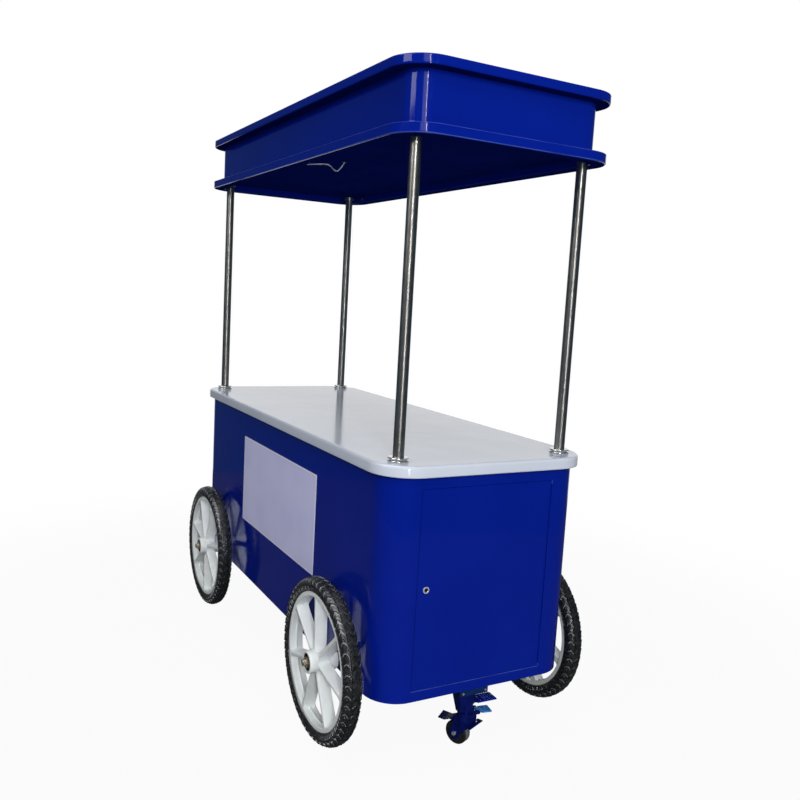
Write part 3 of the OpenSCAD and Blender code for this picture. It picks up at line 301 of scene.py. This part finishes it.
# Before a solid is softened, points this near are joined and faces this many degrees from flat are merged.
WELD, FLAT = 0.002, 0.4


def outline(length, width, radius, inset, steps=16):
    """Points round a rectangle with round corners, drawn in by inset."""
    r = max(radius - inset, 0.5)
    hx, hy = length / 2 - radius, width / 2 - radius
    points = []
    for cx, cy, start in ((hx, hy, 0), (-hx, hy, 90), (-hx, -hy, 180), (hx, -hy, 270)):
        for k in range(steps + 1):
            a = math.radians(start + 90 * k / steps)
            points.append((cx + r * math.cos(a), cy + r * math.sin(a)))
    return points


def skin(bm, rings, ends="caps", second=(), third=(), marked=None):
    """Faces between rings of points, with the ends capped or joined in a loop.

    The strips in second and third, and the faces for which marked is true, take later finishes."""
    made = [[bm.verts.new(p) for p in ring] for ring in rings]
    count = len(made[0])
    pairs = list(zip(made, made[1:])) + ([(made[-1], made[0])] if ends == "loop" else [])
    for number, (low, high) in enumerate(pairs):
        for k in range(count):
            face = bm.faces.new((low[k], low[(k + 1) % count], high[(k + 1) % count], high[k]))
            plain = 2 if number in third else 1 if number in second else 0
            face.material_index = 1 if marked and marked(number, k) else plain
    if ends == "caps":
        bm.faces.new(made[0][::-1])
        bm.faces.new(made[-1])


def sweep(bm, size, profile, ends="loop", second=(), third=()):
    """Carries a profile of (inset, height) round an outline of (length, width, radius)."""
    rings = [[(x, y, z) for x, y in outline(*size, inset)] for inset, z in profile]
    skin(bm, rings, ends, second, third)


def turn(bm, profile, steps, place=None, second=()):
    """Spins a closed profile of (radius, height) about local Z, then moves it by place."""
    first = len(bm.verts)
    angles = [2 * math.pi * k / steps for k in range(steps)]
    skin(bm, [[(r * math.cos(a), r * math.sin(a), z) for a in angles] for r, z in profile], "loop", second)
    if place:
        bm.verts.ensure_lookup_table()
        bmesh.ops.transform(bm, matrix=place, verts=bm.verts[first:])


def dress(obj, finishes, body, replaced):
    """Gives a piece its finishes and body, and hides the solids that it stands for."""
    for each in finishes:
        obj.data.materials.append(each)
    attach(obj, body)
    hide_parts(*replaced)


def placed_mesh(name, bm, sharp):
    """A smooth object from a finished mesh, crisp at edges of more than sharp degrees."""
    mesh = bpy.data.meshes.new(name)
    bm.to_mesh(mesh)
    bm.free()
    mesh.shade_smooth()
    mesh.set_sharp_from_angle(angle=math.radians(sharp))
    obj = bpy.data.objects.new(name, mesh)
    scene.collection.objects.link(obj)
    return obj


def piece(name, bm, finishes, body, slot, *replaced, sharp=CRISP, place=None):
    """Turns a mesh in millimetres into a piece in metres."""
    bmesh.ops.recalc_face_normals(bm, faces=bm.faces)
    bmesh.ops.scale(bm, vec=(MM, MM, MM), verts=bm.verts)
    obj = placed_mesh(name, bm, sharp)
    if place:
        obj.matrix_world = place
    dress(obj, finishes, body, replaced)


def soften(node, width, made, body, slot, segments=2, other=None, picked=None):
    """A copy of a solid with its edges rounded by width; the picked faces take the other finish."""
    bm = bmesh.new()
    bm.from_mesh(nodes[node].data)
    bmesh.ops.remove_doubles(bm, verts=bm.verts, dist=WELD * MM)
    bmesh.ops.dissolve_limit(
        bm, angle_limit=math.radians(FLAT), verts=bm.verts, edges=bm.edges, use_dissolve_boundaries=False
    )
    obj = placed_mesh(node + "_soft", bm, CRISP)
    bevel = obj.modifiers.new("round", "BEVEL")
    bevel.width = width * MM
    bevel.segments = segments
    bevel.limit_method = "ANGLE"
    bevel.angle_limit = math.radians(CRISP)
    bevel.harden_normals = True
    finishes = [made]
    if other:
        finishes.append(other)
        for face in obj.data.polygons:
            face.material_index = int(picked(face))
    dress(obj, finishes, body, [node])


def keep(names, made):
    """Gives solids that keep their shape their finish."""
    for name in names:
        for holder in nodes[name].material_slots:
            holder.material = made


# Cabinet shell: one wall round the cabinet, open at the door, with a strip of pale paint below the door and
# beside its hinge, a painted highlight on the gap's edges.
CABINET = (1758, 678, 100)
DOOR_END = 878
# Across the door end: the lip on the lock side, the opening, and the lip on the hinge side.
LIPS = (-239.2, -237.2, 217.2, 219.2)
# Up the wall: its foot, the lip, the opening, its top.
LEVELS = (212, 241.8, 243.8, 835.2, 871)
LIP_ROW, DOOR_ROW = 1, 2
SHEET = 1.5
TINY = 1e-3


def cabinet_shell():
    wall = outline(*CABINET, 0)
    path = []
    for (x, y), (nx, ny) in zip(wall, wall[1:] + wall[:1]):
        path.append((x, y))
        if x > DOOR_END and nx > DOOR_END:
            path += [(x, lip) for lip in LIPS if min(y, ny) + TINY < lip < max(y, ny) - TINY]
    bm = bmesh.new()
    grid = [[bm.verts.new((x, y, z)) for x, y in path] for z in LEVELS]
    count = len(path)
    for k in range(count):
        after = (k + 1) % count
        (ax, ay), (bx, by) = path[k], path[after]
        on_end = min(ax, bx) > DOOR_END
        at_door = on_end and LIPS[1] - TINY < min(ay, by) and max(ay, by) < LIPS[2] + TINY
        at_hinge = on_end and LIPS[2] - TINY < min(ay, by) and max(ay, by) < LIPS[3] + TINY
        for row, (low, high) in enumerate(zip(grid, grid[1:])):
            if row == DOOR_ROW and at_door:
                continue
            face = bm.faces.new((low[k], low[after], high[after], high[k]))
            # Index 1 takes the paler paint: a painted highlight on the strips below the door and beside its
            # hinge.
            face.material_index = int((row == DOOR_ROW and at_hinge) or (row == LIP_ROW and at_door))
    bmesh.ops.recalc_face_normals(bm, faces=bm.faces)
    bmesh.ops.solidify(bm, geom=bm.faces[:], thickness=SHEET)
    piece("cabinet_wall", bm, [enamel, enamel_painted_highlight], "chassis", "blue_paint", "cabinet_shell")


cabinet_shell()

# Counter: a white skin with a rounded edge, turned down round a board.
COUNTER = (1800, 720, 121)
bm = bmesh.new()
sweep(bm, COUNTER, [
    (8, 901), (4, 901), (4, 871), (2.6, 871), (0.8, 871.8), (0, 873.6), (0, 876), (0, 896), (0.4, 899),
    (1.6, 901.8), (3.6, 903.8), (6.2, 904.8), (9, 905), (12, 905), (30, 905),
], "caps")
piece("counter", bm, [acrylic], "chassis", "counter_white", "countertop", sharp=50)

# Sign: a bare sheet with cut edges on the cabinet's side. Each ring has its inset from the edge and its
# distance from the wall.
SIGN_X, SIGN_Z, SIGN_Y = (-350, 381), (435, 772), -339
SIGN_CORNER = 3
# The corners' rounding takes this much of an inset; the rest moves the straight sides.
CORNER_INSET = 2.5
bm = bmesh.new()
sign_rings = []
for inset, depth in ((3, 0), (0, 0), (0, 1.1), (0.4, 1.5), (5, 1.5), (9, 1.5)):
    rounded = min(inset, CORNER_INSET)
    shift = inset - rounded
    ring = outline(SIGN_X[1] - SIGN_X[0], SIGN_Z[1] - SIGN_Z[0], SIGN_CORNER, rounded, 4)
    sign_rings.append([
        (sum(SIGN_X) / 2 + x - math.copysign(shift, x), SIGN_Y - depth,
         sum(SIGN_Z) / 2 + z - math.copysign(shift, z))
        for x, z in ring
    ])
skin(bm, sign_rings, "caps", (0, 1, 2, 3))
piece("sign", bm, [vinyl, cut_edge], "chassis", "sign_sheet", "sign_panel")

# Posts with their grooved feet and their sockets under the ceiling, each a profile of (radius, height).
POSTS = {
    "front_right": (817.5, -286), "front_left": (817.5, 286),
    "rear_right": (-817.5, -286), "rear_left": (-817.5, 286),
}
POST_STEPS = 64
TUBE = (
    (14.5, 905), (15.6, 905), (16, 905.4), (16, 910), (16, 1350), (16, 1802), (16, 1806.1), (15.6, 1806.5),
    (14.5, 1806.5), (14.5, 1350),
)
FOOT = (
    (16.1, 905), (28.6, 905), (29.6, 905.4), (30, 906.4), (30, 908.6), (29.4, 909.6), (28, 910),
    (24.6, 910), (24, 910.6), (24, 912.4), (24.6, 913), (28, 913), (29.4, 913.4), (30, 914.4), (30, 916),
    (29.2, 917.4), (27.6, 918), (18, 918), (16.1, 917.4),
)
SOCKET = (
    (16.1, 1794.9), (17, 1794.5), (20.6, 1794.5), (21.6, 1795), (22, 1796), (22, 1806.3), (16.1, 1806.3),
)


def at_posts(profile, places):
    """The same turned form at each of the places."""
    bm = bmesh.new()
    for x, y in places:
        turn(bm, profile, POST_STEPS, Matrix.Translation((x, y, 0)))
    return bm


for corner, post in POSTS.items():
    piece(corner + "_tube", at_posts(TUBE, [post]), [stainless], "chassis", "stainless", corner + "_post")
piece("post_feet", at_posts(FOOT, POSTS.values()), [turned], "chassis", "stainless", "post_flanges")
piece("post_heads", at_posts(SOCKET, POSTS.values()), [stainless], "chassis", "stainless", "post_sockets")

# Canopy: lower ring, band with its flange, and roof, each folded from sheet.
CANOPY = (1805, 725, 108)
# Strips 5 to 8 along the ring's lower face take the darker paint: a painted shade.
bm = bmesh.new()
sweep(bm, CANOPY, [
    (0, 1806.4), (0, 1804), (0, 1785), (0, 1783.4), (1, 1781), (3.4, 1780), (6, 1780), (40, 1780),
    (42.6, 1780), (45, 1781), (46, 1783.4), (46, 1786), (46, 1806.4), (40.5, 1806.4), (40.5, 1781.5),
    (1.5, 1781.5), (1.5, 1806.4),
], "loop", (5, 6, 7, 8), (3,))
# The ring's lower outer edge, strip 3, takes the paler paint: a painted highlight.
piece("canopy_lower_ring", bm, [enamel, underside_painted_shade, enamel_painted_highlight], "chassis", "blue_paint", "canopy_ring")
bm = bmesh.new()
sweep(bm, CANOPY, [
    (0.3, 1806.5), (0, 1806.8), (0, 1807.3), (0.9, 1808), (3, 1808), (34, 1808), (38, 1808.3), (40.6, 1809.4),
    (41.7, 1812), (42, 1816), (42, 1820), (42, 1951), (43.5, 1951), (43.5, 1806.5),
], "loop", (0, 1, 2))
# The flange's folded edge, strips 0 to 2, takes the paler paint: a painted highlight.
piece("canopy_band", bm, [enamel, enamel_painted_highlight], "chassis", "blue_paint", "canopy_fascia")
# Strips 2 to 5 below the roof's edge take the darker paint: a painted shade.
bm = bmesh.new()
sweep(bm, CANOPY, [
    (3, 1976.5), (1.5, 1976.5), (1.5, 1952.5), (46, 1952.5), (46, 1951), (6, 1951), (3.4, 1951), (1, 1952),
    (0, 1954.4), (0, 1957), (0, 1973), (0, 1974.6), (1, 1977), (3.4, 1978), (6, 1978), (30, 1978),
], "caps", (2, 3, 4, 5))
piece("canopy_top", bm, [enamel, underside_painted_shade], "chassis", "blue_paint", "canopy_roof")

# Wheels: rim, seven spokes and hub in one moulding, with a tyre round it. Each corner has its signs along the
# cart and across it, and the angle of its first spoke.
WHEELS = {
    "front_right": (1, -1, -9.5), "front_left": (1, 1, 20),
    "rear_right": (-1, -1, 13), "rear_left": (-1, 1, 4),
}
WHEEL_X, WHEEL_Y, WHEEL_Z = 606, 399, 252
# Half profiles of (radius, height) from the middle to the outer face.
RIM = [
    (191, 0), (191, 1.6), (191.6, 2.6), (193.6, 3.8), (194, 5), (194, 17.4), (194, 19.6), (194.6, 21),
    (196, 21.5), (198, 21.5), (205, 21.5), (206.6, 21.3), (207.7, 20.4), (208, 19.4), (207.5, 18.4),
    (206.4, 18), (201, 18), (200, 17.4), (200, 15),
]
HUB = [
    (17.5, 0), (17.5, 20), (23.6, 20), (23.6, 34), (26.5, 34), (26.5, 43.6), (26.9, 45.2), (28.2, 46),
    (31.4, 46), (33.2, 45.3), (34, 43.6), (34, 41),
]
# The strips of the hub's two recesses, painted dark like the bearings' seals as their shadow.
HUB_RECESS_PAINTED_SHADE = (1, 2, 3, 4, 18, 19, 20, 21)
RIM_STEPS, HUB_STEPS = 126, 56
SPOKES = 7
SPOKE_STATIONS = (29, 33, 35, 38, 42, 47, 60, 90, 120, 150, 174, 181, 186, 190, 193, 196.5)
SPOKE_FACE, SPOKE_DEPTH, SPOKE_TAPER = 21, 36, 2
SPOKE_ROOT, SPOKE_LENGTH = 30, 167
SPOKE_HALF, SPOKE_FLARE = 5, 6
# Where a spoke spreads at the hub and at the rim: from which radius, over what length and by how much.
HUB_SPREAD, RIM_SPREAD = (47, 13, 5), (178, 16, 6)


def both(profile):
    """A profile from the middle to the outer face, with its mirror image for the inner face."""
    return profile + [(r, -z) for r, z in reversed(profile)]


def spread_at(x):
    """How much wider a spoke is at a radius, near the hub and near the rim."""
    hub_end, hub_reach, hub_width = HUB_SPREAD
    rim_start, rim_reach, rim_width = RIM_SPREAD
    at_hub, at_rim = max(0, (hub_end - x) / hub_reach), max(0, (x - rim_start) / rim_reach)
    return hub_width * at_hub ** 2 + rim_width * at_rim ** 2


def spoke(bm, angle):
    """One ridged spoke that spreads where it enters the hub and the rim."""
    c, s = math.cos(angle), math.sin(angle)
    rings = []
    for x in SPOKE_STATIONS:
        spread = spread_at(x)
        low = SPOKE_FACE - SPOKE_DEPTH - SPOKE_TAPER * (x - SPOKE_ROOT) / SPOKE_LENGTH
        half = SPOKE_HALF + SPOKE_FLARE * (SPOKE_FACE - low) / (SPOKE_DEPTH + SPOKE_TAPER)
        flank = [
            (half + spread - 1.2, low), (half + spread, low + 1), (5.9 + spread, 17.2), (5.3 + spread, 19.4),
            (4.1 + spread * 0.8, 20.6), (2.2, SPOKE_FACE),
        ]
        ring = flank + [(-y, z) for y, z in reversed(flank)]
        rings.append([(x * c - y * s, x * s + y * c, z) for y, z in ring])
    skin(bm, rings, "caps")


def wheel_mesh(phase):
    bm = bmesh.new()
    turn(bm, both(RIM), RIM_STEPS)
    for k in range(SPOKES):
        spoke(bm, math.radians(phase) + 2 * math.pi * k / SPOKES)
    turn(bm, both(HUB), HUB_STEPS, second=HUB_RECESS_PAINTED_SHADE)
    return bm


# Tyre: hooked lugs on the shoulders, a broken middle, and notches beside the rim.
LUGS = 52
# Places along one pitch: the lug with a slot, the bead at its leading edge, and the groove after it.
PITCH = (0, 0.06, 0.2, 0.24, 0.31, 0.35, 0.5, 0.55, 0.64, 0.69, 0.82, 0.96)
SLOT, BEAD, GROOVE = (0.24, 0.31), (0.55, 0.64), (0.69, 0.82, 0.96)
# The sidewall as (radius, half width), and the tread as degrees from the side to the middle.
SIDEWALL = (
    (200.2, 17.8), (207.6, 17.8), (208.2, 19.5), (209.4, 23), (212, 24.6), (213.5, 25.2), (215, 25.6),
    (222, 26.4), (224, 26.5), (227, 26.4),
)
TREAD = (4, 8, 12, 18, 24, 30, 36, 42, 48, 54, 60, 63, 67, 71, 76, 83)
SHOULDER_END, MIDDLE_START, TOP = 62, 69, 90
# Radius at the tread's side, how far the casing and a full lug rise above it, and the same across the tyre.
TREAD_RADIUS, CASING_RISE, LUG_RISE = 230, 15.5, 6.5
CASING_HALF, LUG_HALF = 25, 3
NOTCH_RADII, NOTCH_DEPTH = (213, 225), 2.6
LUG_ROUNDING, CASING_ROUNDING = 0.5, 0.9
# The lugs rise from the side over these degrees, and their hook begins a little above it.
FADE_START, FADE_LENGTH, HOOK_START = 4, 8, 8
# How far along the pitch each part of the tread is turned, in shares of the pitch.
SIDE_TURN, MIDDLE_TURN, MIDDLE_SLANT = 0.1, 0.02, 0.4
HOOK, HOOK_ARC, HOOK_BACK = 0.38, 0.9, 0.2
# The height of the line between the shoulder and the middle, as a share of a full lug.
LINE_HEIGHT = 0.2


def height(place, slot, groove, bead, lug=0.8):
    """The share of a full lug that stands at a place along the pitch."""
    return slot if place in SLOT else groove if place in GROOVE else bead if place in BEAD else lug


def tread_form(degrees, place):
    """How high the tread stands, and how far along the pitch it is turned there."""
    if degrees < SHOULDER_END:
        along = max(0, (degrees - HOOK_START) / (SHOULDER_END - HOOK_START))
        fade = min(1, max(0, (degrees - FADE_START) / FADE_LENGTH))
        hook = HOOK * math.sin(HOOK_ARC * math.pi * along) - HOOK_BACK * along ** 2
        return height(place, slot=0.5, groove=0.0, bead=1.0) * fade, SIDE_TURN + hook
    if degrees < MIDDLE_START:
        return LINE_HEIGHT, MIDDLE_TURN
    slant = MIDDLE_SLANT * (degrees - MIDDLE_START) / (TOP - MIDDLE_START)
    return height(place, slot=0.1, groove=0.45, bead=0.95), MIDDLE_TURN + slant


def side_point(radius, half, place):
    """Radius, height and turn on the sidewall, with notches beside the lugs' slots and grooves."""
    notched = NOTCH_RADII[0] < radius < NOTCH_RADII[1] and place in SLOT + GROOVE
    return radius, math.copysign(abs(half) - (NOTCH_DEPTH if notched else 0), half), SIDE_TURN


def tread_point(degrees, side, place):
    """Radius, height and turn on the tread."""
    lift, bend = tread_form(degrees, place)
    a = math.radians(degrees)
    across = (CASING_HALF + LUG_HALF * lift * math.cos(a) ** LUG_ROUNDING) * math.cos(a) ** CASING_ROUNDING
    return TREAD_RADIUS + (CASING_RISE + LUG_RISE * lift) * math.sin(a), side * across, bend


def tyre_mesh(way):
    """Round section whose lugs point one way; the beads on its shoulders are painted paler as a highlight."""
    rows = [(side_point, r, w) for r, w in SIDEWALL]
    rows += [(tread_point, a, 1) for a in TREAD] + [(tread_point, TOP, 1)]
    rows += [(tread_point, a, -1) for a in reversed(TREAD)]
    rows += [(side_point, r, -w) for r, w in reversed(SIDEWALL)]
    rings = []
    for point_at, one, two in rows:
        ring = []
        for k in range(LUGS):
            for place in PITCH:
                radius, z, bend = point_at(one, two, place)
                angle = way * 2 * math.pi * (k + place + bend) / LUGS
                ring.append((radius * math.cos(angle), radius * math.sin(angle), z))
        rings.append(ring)
    bead = PITCH.index(BEAD[0])
    first, last = len(SIDEWALL) + 1, len(rows) - len(SIDEWALL) - 3

    def highlighted_face(row, k):
        on_shoulder = rows[row][1] < SHOULDER_END and rows[row + 1][1] < SHOULDER_END
        return first <= row <= last and on_shoulder and k % len(PITCH) == bead

    bm = bmesh.new()
    skin(bm, rings, "loop", marked=highlighted_face)
    return bm


for corner, (fx, sy, phase) in WHEELS.items():
    hung = Matrix.Translation(Vector((WHEEL_X * fx, WHEEL_Y * sy, WHEEL_Z)) * MM) @ Matrix.Rotation(
        math.radians(-90 * sy), 4, "X"
    )
    body = corner + "_wheel_assembly"
    piece(
        corner + "_moulding", wheel_mesh(phase), [nylon, seal_and_painted_shade], body, "wheel_white", corner + "_wheel",
        sharp=38, place=hung,
    )
    # Each tyre's beads take the paler rubber: a painted highlight.
    piece(
        corner + "_tread", tyre_mesh(-sy), [rubber, lug_painted_highlight], body, "tyre_rubber", corner + "_tyre",
        sharp=30, place=hung,
    )
    # The bearings take the black sealing finish, which also keeps the hub's recess dark as a painted shadow.
    keep([corner + "_bearings"], seal_and_painted_shade)

# Solids that only need rounded edges: rounding in millimetres, finish, body, slot, and steps where not two.
# Axle ends first, then the door's skin and its lock.
for solid in (
    ("axle_nuts", 1.2, zinc, "chassis", "zinc_steel", 3),
    ("axle_washers", 0.5, zinc, "chassis", "zinc_steel"),
    ("front_axle", 1.2, zinc, "chassis", "zinc_steel", 3),
    ("rear_axle", 1.2, zinc, "chassis", "zinc_steel", 3),
    ("door_skin", 1.2, enamel, "door", "blue_paint", 3),
    ("lock_barrel", 0.8, chromed, "door", "lock_chrome", 3),
    # The lock's plug is painted dark as the keyhole's shade.
    ("lock_cam", 0.4, brass_painted_shade, "lock", "lock_chrome"),
):
    soften(*solid)

# Jack and caster. The ribs of the raised pedal are picked by the size of their tops and painted paler as a
# highlight, and the sides of the caster's tread by the axis of its wheel.
RIB_WIDTH, RIB_LENGTH, RIB_SLACK = 2.4, 44, 0.05
RIB_TOP = RIB_WIDTH * RIB_LENGTH * MM ** 2
SIDE_FACING = 0.6
CASTER_TURN = math.radians(24)
WHEEL_AXIS = Vector((-math.sin(CASTER_TURN), math.cos(CASTER_TURN), 0))
# The jack's housing and plunger, the fork and the brake take the darker navy: a painted shade under the cart.
for solid in (
    ("jack_saddle", 1.0, over_primer, "chassis", "blue_paint"),
    ("jack_bolts", 0.8, bright, "chassis", "zinc_steel"),
    ("jack_housing", 2.5, navy_painted_shade, "chassis", "blue_paint", 3),
    ("jack_plunger", 1.0, navy_painted_shade, "jack", "blue_paint"),
    ("lift_pedal", 0.4, enamel, "lift_lever", "blue_paint", 2, rib_painted_highlight,
     lambda face: abs(face.area / RIB_TOP - 1) < RIB_SLACK),
    ("lock_pedal", 0.8, light_enamel, "lock_lever", "light_blue_paint"),
    ("caster_fork", 1.2, navy_painted_shade, "caster", "blue_paint"),
    ("caster_axle", 0.8, bright, "caster", "zinc_steel"),
    ("brake_pedal", 0.8, navy_painted_shade, "brake", "blue_paint"),
    ("caster_tread", 0.4, tread_rubber, "caster_wheel", "caster_rubber", 2, black_nylon,
     lambda face: abs(face.normal.dot(WHEEL_AXIS)) > SIDE_FACING),
):
    soften(*solid)

# Solids that keep their shape.
keep(["hinge_frame_leaf", "hinge_door_leaf", "hinge_pin", "door_jambs"], enamel)
keep(["axle_spacers", "lock_nut"], bright)
keep(["door_liner"], abs_sheet)
keep(["caster_hub"], black_nylon)
keep(["base_side_rails", "base_cross_rails", "cabinet_uprights", "top_rails", "floor_panel",
      "canopy_frame", "axle_sleeves"], primer)
keep(["counter_core"], ply)
# The ceiling takes the darker paint: a painted shade under the canopy.
keep(["canopy_ceiling"], underside_painted_shade)
keep(["lead_grommets"], grommet)


# Light: a white world and floor, soft lamps in front, above, behind and on the sign side, and one slim strip
# for the streaks on the posts.

WHITE = (1, 1, 1, 1)
DIM_STUDIO = (0.03, 0.055, 0.08, 1)


def lamp(name, place, aim, size, power, mirrored=True):
    """A soft rectangular lamp that faces aim; gloss shows it where mirrored."""
    data = bpy.data.lights.new(name, "AREA")
    data.shape = "RECTANGLE"
    data.size, data.size_y = size
    data.energy = power
    obj = bpy.data.objects.new(name, data)
    scene.collection.objects.link(obj)
    obj.location = place
    obj.rotation_euler = (Vector(aim) - Vector(place)).to_track_quat("-Z", "Y").to_euler()
    obj.visible_glossy = mirrored


lamp("key_softbox", (5.6, -2.4, 2.7), (0, 0, 1.0), (0.8, 1.4), 76, False)
lamp("front_softbox", (6.2, -0.2, 1.8), (0, 0, 1.0), (0.5, 3.4), 86, False)
lamp("slim_strip", (5.7, -1.9, 1.9), (0, 0, 1.4), (0.05, 3.6), 60)
lamp("side_softbox", (1.2, -4.6, 3.4), (0, 0, 0.6), (2.0, 1.2), 41)
lamp("top_softbox", (0.4, -0.2, 5.2), (0, 0, 1), (4, 3), 54)
lamp("brow_panel", (4.5, -2.2, 3.8), (0.6, -0.4, 0.4), (1.6, 4.0), 42)
lamp("back_softbox", (-4.5, 3.4, 1.2), (0, 0, 1.0), (2.0, 2.0), 80, False)


def seen_straight(tree, path):
    """1 for what the camera sees, also through something clear, and 0 for all other light."""
    rays = {0: path.outputs["Is Camera Ray"], 1: path.outputs["Is Transmission Ray"]}
    return put(tree, "Math", links=rays, operation="MAXIMUM").outputs[0]


def studio_world():
    """White where it is seen and plain where it lights. Gloss shows a white backdrop behind the cart, about
    60 degrees wide, and a bright panel that leans over the sign side, in a dim and bluish studio."""
    world = bpy.data.worlds.new("studio")
    scene.world = world
    world.use_nodes = True
    tree = world.node_tree
    tree.nodes.clear()
    path = put(tree, "LightPath")
    direction = put(tree, "TexCoord").outputs["Generated"]

    def spot(way, edge, core):
        """1 within a cone about a direction, fading to 0 between the cosines core and edge."""
        along = put(tree, "VectorMath", {1: way}, {0: direction}, operation="DOT_PRODUCT")
        fade = {"From Min": edge, "From Max": core}
        return put(tree, "MapRange", fade, {"Value": along.outputs["Value"]}).outputs[0]

    backdrop = spot((-0.87, 0.48, 0), 0.74, 0.9)
    panel = spot((-0.051, -0.586, 0.809), 0.85, 0.92)
    lit = put(tree, "Math", links={0: backdrop, 1: panel}, operation="MAXIMUM")
    # A colour mix has its two colours in sockets 6 and 7 and its result in socket 2.
    tint = put(tree, "Mix", {6: DIM_STUDIO, 7: WHITE}, {"Factor": lit.outputs[0]}, data_type="RGBA")
    power = put(tree, "MapRange", {"To Min": 1.0, "To Max": 3.4}, {"Value": panel})
    glossy = put(tree, "Background", links={"Color": tint.outputs[2], "Strength": power.outputs[0]})
    level = put(tree, "MapRange", {"To Min": 0.27, "To Max": 1.0}, {"Value": seen_straight(tree, path)})
    plain = put(tree, "Background", {"Color": WHITE}, {"Strength": level.outputs[0]})
    mixed = put(tree, "MixShader", links={
        0: path.outputs["Is Glossy Ray"], 1: plain.outputs[0], 2: glossy.outputs[0],
    })
    put(tree, "OutputWorld", links={"Surface": mixed.outputs[0]})


def floor_paint():
    # Matt studio paint: dark where gloss and bounced light meet it. The camera sees it white, with a soft
    # shadow.
    made, tree, shader, coords = finish("matt_studio_floor", Roughness=0.9, Specular_IOR_Level=0.1)
    mottle(tree, shader, coords, 1500, ("#4E4F51", "#58595B"))
    path = put(tree, "LightPath")
    pale = put(tree, "BsdfDiffuse", {"Color": linear("#B4B5B7")})
    white = put(tree, "Emission", {"Color": WHITE, "Strength": 1.0})
    reach = put(tree, "VectorMath", links={0: coords}, operation="LENGTH")
    away = put(
        tree, "MapRange", {"From Min": 1.2, "From Max": 2.9, "To Min": 0.94, "To Max": 1.0},
        {"Value": reach.outputs["Value"]}, interpolation_type="SMOOTHSTEP",
    )
    shown = put(tree, "MixShader", links={0: away.outputs[0], 1: pale.outputs[0], 2: white.outputs[0]})
    mixed = put(tree, "MixShader", links={
        0: seen_straight(tree, path), 1: shader.outputs[0], 2: shown.outputs[0],
    })
    tree.links.new(mixed.outputs[0], tree.nodes["Material Output"].inputs["Surface"])
    return made


studio_world()

FLOOR = (6400, 6400, 3199)
FLOOR_LEVELS = (-20, -0.3)
bm = bmesh.new()
skin(bm, [[(x, y, z) for x, y in outline(*FLOOR, 0, steps=24)] for z in FLOOR_LEVELS], "caps")
bmesh.ops.scale(bm, vec=(MM, MM, MM), verts=bm.verts)
floor_mesh = bpy.data.meshes.new("floor")
bm.to_mesh(floor_mesh)
bm.free()
floor = bpy.data.objects.new("floor", floor_mesh)
scene.collection.objects.link(floor)
floor_mesh.materials.append(floor_paint())

scene.view_settings.view_transform = "Standard"
